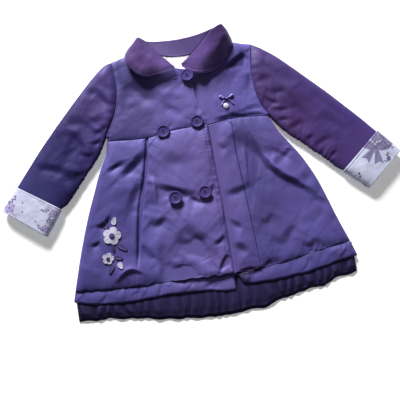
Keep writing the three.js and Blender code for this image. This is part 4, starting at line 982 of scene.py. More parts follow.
def section(rows, turns, depth, shift=None, flat=3):
    """Points on a flattened tube, moved in by a depth from its surface."""
    whole = np.hypot(rows["ix"] - rows["ox"], rows["iy"] - rows["oy"])
    across = np.cos(turns)[None]
    share = (whole / 2 - across * (whole / 2 - depth)) / whole
    seam_z = rows["lift"] + rows["height"] * TUBE_SEAM_HEIGHT
    top = (rows["lift"] + rows["height"] - depth - seam_z) * np.sqrt(1 - np.abs(across) ** flat)
    bottom = (seam_z - rows["lift"] - depth) * (1 - np.abs(across) ** 10)
    z = np.where(np.sin(turns)[None] >= 0, seam_z + top, seam_z - bottom)
    x = mix(rows["ox"], rows["ix"], share)
    y = mix(rows["oy"], rows["iy"], share)
    if shift is not None:
        x = x + rows["bow"] * np.interp(share, shift[0], shift[1])
        y = y + rows["bow"] * np.interp(share, shift[0], shift[2])
    return x, y, z


def armhole_shift(points):
    """How far an armhole's curve lies off the straight line between its ends."""
    curve = curve_points(points, 60)[::-1]
    share = np.linspace(0, 1, 60)
    return (
        share,
        curve[:, 0] - mix(curve[0, 0], curve[-1, 0], share),
        curve[:, 1] - mix(curve[0, 1], curve[-1, 1], share),
    )


def hoop_object(name, parts, slot, painted_shading=None):
    """A closed body from rings of points, each joined to the next and the last to the first."""
    points = np.concatenate([np.stack(part, axis=-1) for part in parts])
    rings, around = points.shape[:2]
    i = np.arange(around)
    nxt = (i + 1) % around
    faces = []
    for ring in range(rings):
        a = ring * around
        b = (ring + 1) % rings * around
        faces.append(np.stack([a + i, a + nxt, b + nxt, b + i], axis=1))
    return closed_object(name, points.reshape(-1, 3), np.concatenate(faces), slot, painted_shading)


def drawn_back(rows, by):
    """A tube's last row, moved back towards the one before it."""
    before, end = rows[-2:]
    share = by / math.dist(end["outer"], before["outer"])
    moved = {
        edge: tuple(mix(a, b, share) for a, b in zip(end[edge], before[edge]))
        for edge in ("outer", "inner")
    }
    return {**end, **moved}


def sleeve_rows(side):
    """The sleeve's own rows, and on from them those inside the cuff."""
    by = SLEEVE_SHIFT if side == "left" else -SLEEVE_SHIFT
    shown = []
    for row in SLEEVE_ROWS[side]:
        (ox, oy), (ix, iy) = row["outer"], row["inner"]
        shown.append({**row, "outer": (ox + by, oy), "inner": (ix + by, iy)})
    inside = [row_inside(row, CUFF_WALL + 0.35) for row in CUFF_ROWS[side]]
    inside[-1] = drawn_back(inside, 2.2)
    return shown + inside


def sleeve(side, armhole, seed):
    rows = sleeve_rows(side)
    at = np.concatenate([
        np.linspace(0, 1, 22)[:-1], np.linspace(1, 7, 118)[:-1], np.linspace(7, len(rows) - 1, 26),
    ])
    stations = tube(rows, at)
    turns = np.linspace(0, 2 * np.pi, SLEEVE_SIDES, endpoint=False)
    shift = armhole_shift(armhole)
    x, y, z = section(stations, turns, 0, shift)
    top = slice(SLEEVE_SIDES // 2 + 1)
    away, along, _, _ = nearest(x, y, np.stack([x[0, top], y[0, top]], axis=1))
    upper = np.clip(np.sin(turns), 0, 1)[None] ** 0.6
    bare = 1 - smooth(6.4, 7.2, at)[:, None]
    box = (-285, -110, -115, 135) if side == "right" else (115, -110, 285, 135)
    lean = 45 if side == "right" else -45
    loose = loose_folds(seed + 50, 18, box, lean, 24, (24, 70), (5, 9), (0.6, 1.5))
    rise = 0.8 * folded(SLEEVE_FOLDS[side], x, y) + folded(loose, x, y) + softness(x, y, seed) * 1.2
    rise = rise + puckers(away, along, seed + 1, 1.5, 10, 7)
    share = (1 - np.cos(turns)[None]) / 2
    run = at[:, None] * SLEEVE_PITCH
    over = np.stack([stations["ix"] - stations["ox"], stations["iy"] - stations["oy"]])
    wide = np.hypot(*over)
    near_seam = np.clip(wide * (1 - share) - 1, 0, None)
    rise = rise + 1.3 * puckers(near_seam, run, seed + 2, 2.2, 9, 7.5)
    tuck = 1.9 * np.clip(wander(run / 7, 0.3, seed + 5) + 0.25, 0, 1) * smooth(0.82, 1, share) * bare
    tuck = tuck * smooth(0, 20, run)
    x = x - over[0] / wide * tuck
    y = y - over[1] / wide * tuck
    seam_z = stations["lift"] + stations["height"] * TUBE_SEAM_HEIGHT
    z = np.where(z > seam_z, seam_z + (z - seam_z) * mix(0.68, 1, dome(away, 11)), z)
    raised = rise * upper * bare * dome(away, 8)
    wall = (stations["height"] - SLEEVE_GAP) / 2
    inner = section(stations, turns, wall, shift)
    parts = [np.stack([x, y, z + raised]), np.stack(inner)[:, ::-1][:, ::4]]
    name = f"sleeve_{side}"
    piece = hoop_object(name, parts, "sleeve_satin", painted_crease_shading(raised, wrap=True).ravel())
    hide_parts(name)
    return piece


def cuff_sections(side, seed):
    """A cuff's rings of points: from its turned edge over what shows, round the end, and back inside."""
    rows = CUFF_ROWS[side]
    last = len(rows) - 1
    turns = np.linspace(0, 2 * np.pi, 400, endpoint=False)
    at = np.linspace(0.08, last - 0.06, 88)
    x, y, z = section(tube(rows, at), turns, 0, flat=CUFF_FLAT)
    upper = np.clip(np.sin(turns), 0, 1)[None] ** 0.6
    ends = dome(np.minimum(at, last - at)[:, None] * 18, 10)
    dents = 0.7 * wander(x / 22, y / 22, seed) + 0.2 * wander(x / 8, y / 8, seed + 2)
    crease = -0.35 * bell(at[:, None] - 0.26, 1 / 16)
    shown = (x, y, z + (dents - 0.5) * upper * ends + crease * upper)
    behind = [drawn_back(rows, 1.85)] * 2
    lip = (rows[-1]["height"] - SLEEVE_GAP) / 2

    def ring(of, places, depth, flat=3):
        return section(tube(of, np.array(places, float)), turns, depth, flat=flat)

    return [
        ring(rows, [0], CUFF_WALL, CUFF_FLAT),
        ring(rows, [0], 0.9, CUFF_FLAT),
        ring(rows, [0.03], 0.25, CUFF_FLAT),
        shown,
        ring(rows, [last - 0.02], 0.35, CUFF_FLAT),
        ring(rows, [last], 1.1, CUFF_FLAT),
        ring(rows, [last], lip),
        ring(behind, [0], lip),
        ring(behind, [0], CUFF_WALL),
        ring(rows, [2, 1], CUFF_WALL),
    ]


def cuff(side, seed):
    name = f"cuff_{side}"
    piece = hoop_object(name, [np.stack(part) for part in cuff_sections(side, seed)], "printed_cloth")
    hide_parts(name)
    paint_cuff(piece, CUFF_ROWS[side], PRINT[side])
    return piece


def paint_cuff(piece, rows, motifs):
    """Sets each point's place over the cuff's cloth, and paints the print there."""
    co = np.empty(len(piece.data.vertices) * 3)
    piece.data.vertices.foreach_get("co", co)
    co = co.reshape(-1, 3) / MM
    start, inner = (np.array(rows[0][edge], float) for edge in ("outer", "inner"))
    end = mix(*(np.array(rows[-1][edge], float) for edge in ("outer", "inner")), 0.5)
    over = inner - start
    over /= np.linalg.norm(over)
    along = end - mix(start, inner, 0.5)
    along -= over * (along @ over)
    along /= np.linalg.norm(along)
    across = (co[:, :2] - start) @ over
    down = (co[:, :2] - start) @ along
    under = co[:, 2] < 6
    paint_print(piece, np.where(under, 100 - across, across), np.where(under, 50 - down, down), motifs)


# The print on the cuffs: bows, flowers, sprigs and dots, set out one by one. "across" runs from
# the sleeve's outer side to its inner one, and "down" from the turned-back edge to the end.
PRINT_LILAC = (0.30, 0.24, 0.46)
PRINT_GREY = (0.33, 0.31, 0.45)
PRINT_DARK = (0.055, 0.038, 0.13)
PRINT_BOW = (0.12, 0.1, 0.22)
PRINT_SHADE = (0.13, 0.11, 0.2)
PRINT = {
    "right": table(
        "kind across down size turn colour",
        ("flower", 10, 34, 9, 0.4, PRINT_LILAC),
        ("sprig", 9, 20, 9, 1.9, PRINT_DARK),
        ("sprig", 22, 41, 8, 0.2, PRINT_GREY),
        ("dot", 25, 18, 1.5, 0, PRINT_DARK),
        ("dot", 32, 31, 1.6, 0, PRINT_DARK),
        ("dot", 58, 35, 1.5, 0, PRINT_DARK),
        ("dot", 48, 12, 1.1, 0, PRINT_GREY),
        ("sprig", 52, 4, 8, 0.1, PRINT_GREY),
        ("flower", 66, 7, 5.5, 0.9, PRINT_GREY),
        ("sprig", 64, 14, 7, 2.7, PRINT_DARK),
        ("flower", 77, 11, 6, 0.2, PRINT_LILAC),
        ("flower", 79, 26, 5.5, 1.2, PRINT_GREY),
        ("sprig", 75, 20, 7, 1.4, PRINT_DARK),
        ("flower", 77, 39, 6, 0.7, PRINT_LILAC),
        ("sprig", 70, 42, 7, -2.9, PRINT_DARK),
    ),
    "left": table(
        "kind across down size turn colour",
        ("bow", 29, 15, 26, -1.0, PRINT_BOW),
        ("flower", 7, 8, 10, 0.3, PRINT_SHADE),
        ("flower", 6, 25, 9, 1.0, PRINT_SHADE),
        ("flower", 18, 5, 6, 0.6, PRINT_SHADE),
        ("sprig", 20, 14, 8, 2.4, PRINT_DARK),
        ("sprig", 8, 15, 10, 0.8, PRINT_DARK),
        ("sprig", 12, 30, 9, -0.9, PRINT_DARK),
        ("sprig", 3, 16, 8, 2.2, PRINT_DARK),
        ("sprig", 27, 39, 8, 0.9, PRINT_DARK),
        ("sprig", 34, 43, 6, 2.6, PRINT_DARK),
        ("flower", 29, 43, 3.4, 0.1, PRINT_DARK),
        ("dot", 80, 22, 2.4, 0, PRINT_DARK),
        ("dot", 82.5, 26.5, 2.0, 0, PRINT_DARK),
        ("dot", 85, 20, 1.3, 0, PRINT_DARK),
        ("dot", 58, 33, 1.0, 0, PRINT_GREY),
        ("sprig", 88, 6, 7, 1.6, PRINT_GREY),
        ("sprig", 90, 38, 7, -0.6, PRINT_DARK),
    ),
}


def ellipse(u, v, u0, v0, long, wide, turn):
    """1 inside a leaning ellipse, 0 outside, with a soft edge."""
    a, b = turned(u - u0, v - v0, -turn)
    return 1 - smooth(0.82, 1.12, np.hypot(a / long, b / wide))


# Motifs of size 1 about the origin: how much each one covers, and how dark its lines are
def dot_motif(u, v):
    return ellipse(u, v, 0, 0, 1, 0.9, 0), np.zeros(u.shape)


def flower_motif(u, v):
    turn = np.arctan2(v, u)
    away = np.hypot(u, v)
    rim = 0.78 + 0.22 * np.abs(np.cos(2.5 * turn))
    cover = 1 - smooth(rim - 0.1, rim + 0.1, away)
    lines = bell(np.sin(2.5 * turn), 0.25) * smooth(0.2, 0.5, away) * 0.8
    rings = 0.5 * bell(away - rim + 0.1, 0.09)
    return cover, np.clip(lines + rings + 1 - smooth(0.12, 0.26, away), 0, 1)


def sprig_motif(u, v):
    stem = (1 - smooth(0.05, 0.13, np.abs(v - 0.25 * u * u))) * (np.abs(u) < 0.9)
    leaves = sum(
        ellipse(u, v, c, 0.25 * c * c + side * 0.2, 0.27, 0.12, side * 0.9)
        for c, side in ((-0.6, 1), (-0.3, -1), (0.05, 1), (0.35, -1), (0.65, 1))
    )
    buds = ellipse(u, v, 0.95, 0.24, 0.16, 0.14, 0)
    return np.clip(stem * 0.9 + leaves + buds, 0, 1), np.clip(stem, 0, 1) * 0.5


def bow_loops(u, v, long, wide):
    return (
        ellipse(u, v, -0.5, -0.2, long, wide, 0.35),
        ellipse(u, v, 0.5, -0.14, long, wide, -0.3),
    )


def bow_motif(u, v):
    loops = np.maximum(*bow_loops(u, v, 0.52, 0.3))
    tails = 0
    for side, lean in ((-1, 0.28), (1, -0.5)):
        a, b = turned(u - 0.05 * side, v, -lean)
        wide = 0.09 + 0.2 * np.clip(b, 0, 1)
        end = 1.05 - 0.16 * np.clip(1 - np.abs(a) / np.maximum(wide, 0.01), 0, 1)
        tails = np.maximum(tails, (1 - smooth(wide - 0.04, wide + 0.04, np.abs(a))) * (b > 0) * (b < end))
    knot = ellipse(u, v, 0, -0.04, 0.15, 0.13, 0)
    away = np.hypot(u, v)
    folds = bell(np.sin(7 * np.arctan2(v, u)), 0.3) * smooth(0.1, 0.3, away) * (1 - smooth(0.45, 0.8, away))
    rims = 0.7 * loops * (1 - sum(bow_loops(u, v, 0.44, 0.23)))
    return np.clip(loops + tails + knot, 0, 1), np.clip(folds + rims + 0.4 * knot, 0, 1)


MOTIFS = {"dot": dot_motif, "flower": flower_motif, "sprig": sprig_motif, "bow": bow_motif}


def paint_print(piece, across, down, motifs):
    """Paints the print on a piece's points, given in millimetres over the cloth."""
    colour = np.zeros((len(across), 4))
    for item in motifs:
        a, b = turned(across - item["across"], down - item["down"], -item["turn"])
        a, b = a / item["size"], b / item["size"]
        near = np.hypot(a, b) < 1.7
        cover = np.zeros(len(across))
        lines = np.zeros(len(across))
        cover[near], lines[near] = MOTIFS[item["kind"]](a[near], b[near])
        ink = mix(np.array(item["colour"]), np.array(PRINT_DARK), lines[:, None])
        amount = (cover * 0.93)[:, None]
        colour[:, :3] = np.where(amount > 0, ink, colour[:, :3])
        colour[:, 3:] = np.maximum(colour[:, 3:], amount)
    attribute = piece.data.color_attributes.new("print", "FLOAT_COLOR", "POINT")
    attribute.data.foreach_set("color", colour.ravel().astype(np.float32))


# Collar
COLLAR_ROWS = table(
    "neck roll mid edge turn",
    ((-17, 109), (-14, 106.5, 23.5), (-13.5, 104.5, 23), (-13, 102, 22)),
    ((-25, 114.5), (-25.5, 115, 28), (-26.5, 108, 27), (-27, 99, 23.5)),
    ((-34, 122), (-35.5, 124, 32), (-38.5, 112.5, 31.3), (-43, 96, 24.5)),
    ((-43, 131), (-45, 135, 36), (-50.5, 117, 34.8), (-60, 94.5, 24.5)),
    ((-51, 139), (-52, 146, 38), (-62, 126, 35.5), (-76, 101, 24)),
    ((-57, 146), (-60, 153, 39), (-73, 136, 34), (-88, 116, 23)),
    ((-59, 149.5), (-66, 158, 38), (-80, 146, 31), (-93, 130, 20)),
    ((-58, 150), (-66, 158.5, 35), (-78, 154, 24), (-90, 147, 12)),
    ((-54, 147.5), (-62, 156, 31), (-72, 157, 13), (-83, 149.5, 1.1), (-80, 152, 1.1)),
    ((-45, 142.5), (-50, 153, 27.5), (-56, 157, 9), (-72, 132, 1.1), (-63, 155, 1.1)),
    ((-29, 135.5), (-34, 151.5, 25.5), (-36, 155, 9), (-42, 112, 1.1), (-38, 153, 1.1)),
    ((-6, 131.5), (-6, 151, 24.5), (-6, 154.5, 9), (-6, 108, 1.1), (-6, 152, 1.1)),
    ((17, 132.5), (22, 153, 25.5), (25, 157, 9), (32, 112, 1.1), (27, 154.5, 1.1)),
    ((37, 142), (43, 156.5, 28), (50, 160, 9), (64, 132, 1.1), (56, 157.5, 1.1)),
    ((48, 149), (59, 160, 32), (68, 160.5, 13), (77, 152.5, 1.1), (73, 156, 1.1)),
    ((53, 151), (72, 162, 36), (81, 157, 25), (87, 150, 12)),
    ((53.5, 149), (69, 161, 39), (80, 147, 32), (89, 135, 20)),
    ((49, 143), (58, 155, 39), (69, 139, 35), (81, 122, 23)),
    ((41.5, 134), (48, 146, 37), (58, 128, 34.5), (70, 106, 24)),
    ((33, 125.5), (39, 137, 34.5), (45, 119, 32.5), (53, 94, 24.5)),
    ((24.5, 118), (28, 128.5, 31), (31, 112, 30), (35, 89.5, 24.5)),
    ((16, 112), (17, 120, 27.5), (19, 108, 27), (22, 91.5, 24)),
    ((8, 108.5), (7, 113.5, 24.5), (8, 107, 24.6), (9, 98, 23.8)),
    ((2, 107), (-1, 109.5, 23.5), (-1, 107.5, 23), (-1, 105.5, 22.8)),
)
ROLL_RADIUS = 1.2


def collar_middle(row, neck_z):
    """One section of the collar's middle surface, from the neck seam over the roll to its edge."""
    neck = np.array([*row["neck"], neck_z], float)
    roll = np.array(row["roll"], float)
    mid = np.array(row["mid"], float)
    edge = np.array(row["edge"], float)
    halfway = mix(mid, edge, 0.5)
    halfway[2] = mix(mid[2], edge[2], 0.4)
    turn = np.array(row["turn"], float) if "turn" in row else halfway
    out = mid - neck
    out[2] = 0
    out *= min(ROLL_RADIUS, np.linalg.norm(roll - edge) * 0.3) / np.linalg.norm(out)
    inside = roll - out + np.array([0, 0, -ROLL_RADIUS * 0.8])
    outside = roll + out + np.array([0, 0, -0.1])
    return [neck, mix(neck, inside, 0.55), inside, roll, outside, mix(outside, mid, 0.5), mid, turn, edge]


def between(lines, steps):
    """Points between given ones on smooth curves, along the first axis."""
    p = np.asarray(lines, float)
    before = np.concatenate([2 * p[:1] - p[1:2], p[:-1]])
    after = np.concatenate([p[1:], 2 * p[-1:] - p[-2:-1]])
    slope = (after - before) / 2
    t = np.linspace(0, 1, steps, endpoint=False).reshape((-1,) + (1,) * (p.ndim - 1))
    parts = [hermite(t, p[k], p[k + 1], slope[k], slope[k + 1]) for k in range(len(p) - 1)]
    return np.concatenate(parts + [p[-1:]])


def collar_surface(below):
    """The collar's middle surface: rows round the neck, columns from the neck seam to the edge."""
    tree = tree_of(*below)
    lines = []
    for row in COLLAR_ROWS:
        seat = highest_on(tree, *row["neck"], 4.0, BACK_WALL)
        lines.append(collar_middle(row, seat + 0.35 + COLLAR_WALL / 2))
    middle = between(lines, 9)
    return between(middle.transpose(1, 0, 2), 7).transpose(1, 0, 2)


def collar_half(edge, fall):
    """Half the collar's thickness: thin at the edge, and on the fall a rolled rim and a stitched line."""
    half = COLLAR_WALL / 2 * (0.2 + 0.8 * dome(edge, 1.8))
    return half + np.where(fall, 0.35 * (bell(edge - 2.2, 1.6) - bell(edge - 4.6, 0.8)), 0)


def collar_wave(middle, edge, rows, columns):
    """The unevenness of the collar's fall, and the creases of the wall behind the neck."""
    x, y = middle[..., 0], middle[..., 1]
    on_fall = smooth(24, 40, columns) * smooth(12, 16, middle[..., 2])
    wave = on_fall * (
        0.9 * wander(x / 24, y / 24, 41) + 0.35 * wander(x / 9, y / 9, 43)
        + 0.5 * np.exp(-edge / 7) * wander(rows / 9.0, edge / 30, 45)
    )
    on_wall = smooth(2, 8, columns) * (1 - smooth(14, 19, columns))
    return wave + on_wall * (0.8 * wander(x / 11, 0.5, 47) + 0.3 * wander(x / 5, 0.5, 48))


def collar(below):
    middle = collar_surface(below)
    normal = np.cross(np.gradient(middle, axis=1), np.gradient(middle, axis=0))
    normal /= np.linalg.norm(normal, axis=-1, keepdims=True)
    step = np.linalg.norm(np.diff(middle, axis=1), axis=-1)
    to_edge = np.zeros(middle.shape[:2])
    to_edge[:, :-1] = np.cumsum(step[:, ::-1], axis=1)[:, ::-1]
    rows = np.arange(len(middle))[:, None]
    columns = np.arange(middle.shape[1])[None]
    edge = np.minimum(to_edge, np.minimum(rows, len(middle) - 1 - rows) * 1.4)
    fall = columns > 24
    half = collar_half(edge, fall)
    wave = collar_wave(middle, edge, rows, columns)
    raised = mix(2.4, -2.6, smooth(-20, 10, middle[..., 0])) - 3.2 * smooth(24, 44, middle[..., 0])
    raised = raised * (1 - smooth(4, 26, to_edge))
    middle[..., 2] += np.where(fall, raised * smooth(12, 20, middle[..., 2]), 0)
    upper = middle + normal * (half + wave)[..., None]
    lower = middle - normal * (half - wave)[..., None]
    points = np.vstack([upper.reshape(-1, 3), lower.reshape(-1, 3)])
    points[:, 2] = np.maximum(points[:, 2], 0)
    # Painted shade: on the lobes the crest beside the roll is darkened to take down its bright rim
    lobes = 1 - smooth(60, 76, rows) + smooth(124, 140, rows)
    painted_shading = 1 - 0.45 * bell(columns - 21, 4) * lobes
    piece = closed_object("collar", points, slab_faces(*middle.shape[:2]), "collar_satin", painted_shading.ravel())
    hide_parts("collar")
    return piece


def neck_lining():
    neckline = curve_points(BACK_NECKLINE[1:-1], 60)
    share = np.linspace(0, 1, 26)[:, None]
    x = mix(neckline[None, :, 0] * 0.9, neckline[None, :, 0], share)
    y = mix(LINING_FROM_Y, neckline[None, :, 1] - 1, share)
    low = back_top(x, y) + SEAM_GAP
    high = low + 0.8 + 0.15 * wander(x / 6, y / 6, 51)
    piece = slab_object("neck_lining", x, y, high, low, "printed_cloth")
    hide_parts("neck_lining")
    piece.data.color_attributes.new("print", "FLOAT_COLOR", "POINT")
    return piece


# Seats for what lies on the cloth
def tree_of(*pieces):
    points = []
    faces = []
    for piece in pieces:
        start = len(points)
        points += [vertex.co.copy() for vertex in piece.data.vertices]
        faces += [[start + i for i in polygon.vertices] for polygon in piece.data.polygons]
    return BVHTree.FromPolygons(points, faces)


def height_on(tree, x, y, otherwise=0.0):
    hit = tree.ray_cast(Vector((x * MM, y * MM, 0.2)), Vector((0, 0, -1)))[0]
    return hit.z / MM if hit else otherwise


def highest_on(tree, x, y, radius, otherwise=0.0):
    heights = [height_on(tree, x, y, otherwise)]
    for reach in (radius / 2, radius):
        for turn in np.linspace(0, 2 * math.pi, 12, endpoint=False):
            heights.append(height_on(tree, x + reach * math.cos(turn), y + reach * math.sin(turn)))
    return max(heights)


# Buttons and ornaments
BUTTON_RADIUS = 11.0
BUTTON_HEIGHT = 3.4
# The face from the middle to the rim, then the underside, as shares of the radius and the height
BUTTON_FACE = np.array([
    (0, 0.55), (0.5, 0.56), (0.62, 0.62), (0.7, 0.8), (0.78, 0.95), (0.86, 1.0), (0.94, 0.93), (1.0, 0.66),
])
BUTTON_UNDERSIDE = [(1.0, 0.36), (0.93, 0.12), (0.8, 0.0), (0.02, 0.0)]
BUTTON_HOLE_FROM_MIDDLE = 1.9


def button(name):
    """A four-hole button with a dished face and a rounded rim."""
    bx, by = BUTTONS[name]
    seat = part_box(name)[0].z / MM
    radii = np.concatenate([np.linspace(0.02, 0.34, 26)[:-1], np.linspace(0.34, 1.0, 34)]) * BUTTON_RADIUS
    turns = np.linspace(0, 2 * np.pi, 96, endpoint=False)
    r, turn = np.meshgrid(radii, turns, indexing="ij")
    z = BUTTON_HEIGHT * np.interp(r / BUTTON_RADIUS, BUTTON_FACE[:, 0], BUTTON_FACE[:, 1])
    x, y = r * np.cos(turn), r * np.sin(turn)
    for k in range(4):
        hole_x, hole_y = turned(BUTTON_HOLE_FROM_MIDDLE, 0, math.pi * (0.25 + 0.5 * k))
        away = np.hypot(x - hole_x, y - hole_y)
        z = z - 1.6 * (1 - smooth(0.62, 1.0, away)) - 0.12 * bell(away - 1.1, 0.35)
    rings = [np.stack([x, y, z], axis=-1)]
    for share, height in BUTTON_UNDERSIDE:
        r = BUTTON_RADIUS * share
        z = np.full(turns.shape, BUTTON_HEIGHT * height)
        rings.append(np.stack([r * np.cos(turns), r * np.sin(turns), z], axis=-1)[None])
    points = np.concatenate(rings)
    faces = capped_faces(*points.shape[:2])
    piece = closed_object(name, points.reshape(-1, 3) + np.array([bx, by, seat]), faces, "button_plastic")
    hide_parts(name)
    return piece


THREAD_SIDES = 8
THREAD_STOPS = ((0, 0.15), (0.08, 0.7), (0.25, 1), (0.5, 1), (0.75, 1), (0.92, 0.7), (1, 0.15))


def rods(name, segments, thick, slot, thread):
    """Short round-ended threads, all in one mesh, each from one point to another over a small rise."""
    points = []
    faces = []
    for start, end, lift in segments:
        a, b = np.array(start, float), np.array(end, float)
        along = b - a
        length = np.linalg.norm(along)
        along /= length
        side = np.cross(along, [0, 0, 1])
        side /= np.linalg.norm(side)
        up = np.cross(side, along)
        faces += [[len(points) + i for i in face] for face in capped_faces(len(THREAD_STOPS), THREAD_SIDES)]
        for share, fat in THREAD_STOPS:
            centre = a + along * length * share + np.array([0, 0, lift * math.sin(math.pi * share)])
            for k in range(THREAD_SIDES):
                turn = 2 * math.pi * k / THREAD_SIDES
                points.append(centre + thick / 2 * fat * (math.cos(turn) * side + math.sin(turn) * up))
    piece = closed_object(name, points, faces, slot)
    piece.data.materials[0] = MATERIALS[thread]


def button_threads():
    """Two pairs of threads over each button, from hole to hole."""
    segments = []
    for name, (bx, by) in BUTTONS.items():
        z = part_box(name)[0].z / MM + BUTTON_HEIGHT * 0.55 - 0.5
        for side in (-1, 1):
            for shift in (-0.28, 0.28):
                y = by + side * 1.34 + shift
                segments.append(((bx - 1.5, y, z), (bx + 1.5, y, z), 0.85))
    rods("button_threads", segments, 0.5, "button_plastic", "thread")


def stitch_line(tree, line, stitch):
    """Threads laid end to end along a line on the cloth."""
    length = float(np.sum(np.hypot(*np.diff(np.asarray(line, float), axis=0).T)))
    count = max(int(length / sum(stitch)), 2)
    at = curve_points(line, count * 2 + 1)
    segments = []
    for a, b in zip(at[:-1:2], at[1::2]):
        za, zb = height_on(tree, *a, -1), height_on(tree, *b, -1)
        if za >= 0 and zb >= 0 and abs(za - zb) <= 2:
            segments.append(((*a, za), (*b, zb), 0.0))
    return segments


def front_stitches(fronts):
    tree = tree_of(*fronts)
    upper = curve_points(FRONT_EDGE, 40)[::-1] - np.array([STITCH_INSET, 0])
    y = np.linspace(-1, -238, 90)
    lower = np.stack([skirt_x("front_edge", y) - STITCH_INSET, y], axis=1)
    return stitch_line(tree, upper, FRONT_STITCH) + stitch_line(tree, lower, FRONT_STITCH)


def band_stitches(bands):
    tree = tree_of(*bands)
    segments = []
    for line, start, end in (("right", -212, 26), ("left", 44, 222)):
        x = np.linspace(start, end, 120)
        segments += stitch_line(tree, np.stack([x, hem_y(line, x) + BAND_STITCH_RISE], axis=1), BAND_STITCH)
    return segments


def buttonhole_threads(fronts):
    """Three threads that end the buttonhole beside the neck button."""
    tree = tree_of(*fronts)
    segments = []
    for k, dy in enumerate((4.2, 0.6, -3.0)):
        ends = ((-18.5 - k, 90 + dy * 1.25), (-9.5 - 0.8 * k, 90 + dy * 0.8))
        start, end = ((*at, height_on(tree, *at) + 0.25) for at in ends)
        segments.append((start, end, 0.4))
    return segments


def collar_stitches(piece):
    tree = tree_of(piece)
    edges = np.array([row["edge"][:2] for row in COLLAR_ROWS], float)
    mids = np.array([row["mid"][:2] for row in COLLAR_ROWS], float)
    inner = edges + (mids - edges) / np.linalg.norm(mids - edges, axis=1)[:, None] * COLLAR_STITCH_INSET
    return stitch_line(tree, inner[1:7], FINE_STITCH) + stitch_line(tree, inner[17:23], FINE_STITCH)


def cuff_stitches(piece, rows):
    place = {key: value[0, 0] for key, value in tube(rows, np.array([0.27])).items()}
    share = np.linspace(0.06, 0.94, 60)
    line = np.stack([mix(place["ox"], place["ix"], share), mix(place["oy"], place["iy"], share)], axis=1)
    return stitch_line(tree_of(piece), line, FINE_STITCH)


def topstitching(fronts, bands, collar_piece, cuffs):
    coat = front_stitches(fronts) + band_stitches(bands) + buttonhole_threads(fronts)
    rods("coat_stitches", coat, 0.6, "body_satin", "thread")
    rods("collar_stitches", collar_stitches(collar_piece), 0.5, "collar_satin", "thread")
    segments = []
    for side, piece in cuffs.items():
        segments += cuff_stitches(piece, CUFF_ROWS[side])
    rods("cuff_stitches", segments, 0.45, "printed_cloth", "pale_thread")


PETALS = 5
BOW = {"x": 64.5, "y": 42.5, "loop": 12.5, "tall": 4.6, "knot": 3.6, "tail": 12.5, "ribbon": 3.4}
CHARM = {"x": 61.5, "y": 30.5, "radius": 4.8, "height": 3.4}
FLOWERS = table(
    "name x y radius heart",
    ("applique_flower_large", -150, -158, 15, 4.5),
    ("applique_flower_small", -160, -193, 9.5, 3),
)
BUDS = table(
    "name x y long wide lean",
    ("applique_bud_upper", -144, -135, 6.5, 4.5, 1.2),
    ("applique_bud_lower", -142, -207, 6, 4.2, -1.1),
)
LEAVES = table(
    "name x y long wide lean",
    ("applique_leaf_1", -160, -138, 9, 4, 2.2),
    ("applique_leaf_2", -136, -178, 9.5, 4.2, -0.7),
    ("applique_leaf_3", -150, -178.5, 5.5, 2.8, -1.4),
    ("applique_leaf_4", -143, -194, 7, 3.2, -0.3),
    ("applique_leaf_5", -157, -210, 8, 3.6, -2.1),
)


def laid_patch(name, tree, centre, reach, sectors, rings, wall, crown, slot, relief=None):
    """A patch of cloth or ribbon on what is under it: an outline about a centre, moved out."""
    turns = np.linspace(0, 2 * np.pi, sectors, endpoint=False)
    dx, dy = reach(turns)
    share = np.linspace(0.02, 1, rings)[:, None]
    x = centre[0] + dx[None] * share
    y = centre[1] + dy[None] * share
    bed = np.vectorize(lambda px, py: height_on(tree, px, py), otypes=[float])(x, y) + SEAM_GAP
    away = (1 - share) * np.hypot(dx, dy)[None]
    thick = wall * (0.25 + 0.75 * dome(away, 1.1)) + crown * dome(away, 5.0)
    if relief is not None:
        thick = thick + relief(turns[None], share, away)
    top = bed + np.maximum(thick, 0.25)
    points = np.concatenate([np.stack([x, y, top], axis=-1), np.stack([x, y, bed], axis=-1)[::-1]])
    piece = closed_object(name, points.reshape(-1, 3), capped_faces(len(points), sectors), slot)
    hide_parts(name)
    return piece


# Outlines of patches about their centres
def round_reach(radius):
    return lambda turn: (radius * np.cos(turn), radius * np.sin(turn))


def flower_reach(radius):
    def reach(turn):
        r = radius * (0.74 + 0.26 * np.abs(np.cos(turn * PETALS / 2)) ** 0.7)
        return r * np.cos(turn), r * np.sin(turn)
    return reach


def leaf_reach(length, width, lean):
    def reach(turn):
        across = width * np.sin(turn) * (1 - 0.35 * np.cos(turn))
        return turned(length * np.cos(turn), across, lean)
    return reach


def ribbon_loop_reach(side):
    def reach(turn):
        flare = 0.62 + 0.38 * np.cos(turn) * side
        across = BOW["tall"] * 0.86 * flare * np.sin(turn)
        return turned(BOW["loop"] / 2 * np.cos(turn), across, side * 0.5)
    return reach


def ribbon_tail_reach(side):
    def reach(turn):
        across = BOW["ribbon"] / 2 * np.sign(np.sin(turn)) * np.abs(np.sin(turn)) ** 0.5
        return turned(BOW["tail"] / 2 * np.cos(turn), across, -math.pi / 2 + side * 0.62)
    return reach


# Reliefs of patches: what is added to their thickness
def gathered(side):
    """The folds that run from the knot into a loop."""
    def relief(turn, share, away):
        towards = np.cos(turn) * share * side
        return 0.45 * np.sin(7 * np.sin(turn) * share + side) * np.clip(0.6 - towards, 0, 1.2)
    return relief


def charm_rim(turn, share, away):
    return 0.35 * bell(away - 0.7, 0.4)


def raised_border(turn, share, away):
    """The satin-stitched border round a patch."""
    return 0.5 * bell(away - 0.9, 0.6)


def petal_relief(turn, share, away):
    lines = 0.35 * bell(np.sin(turn * PETALS / 2), 0.22) * smooth(0.25, 0.6, share)
    return raised_border(turn, share, away) - lines


def leaf_relief(turn, share, away):
    return raised_border(turn, share, away) - 0.35 * bell(np.sin(turn) * share, 0.16)


def heart_relief(turn, share, away):
    return 0.16 * np.sin(share * 26)


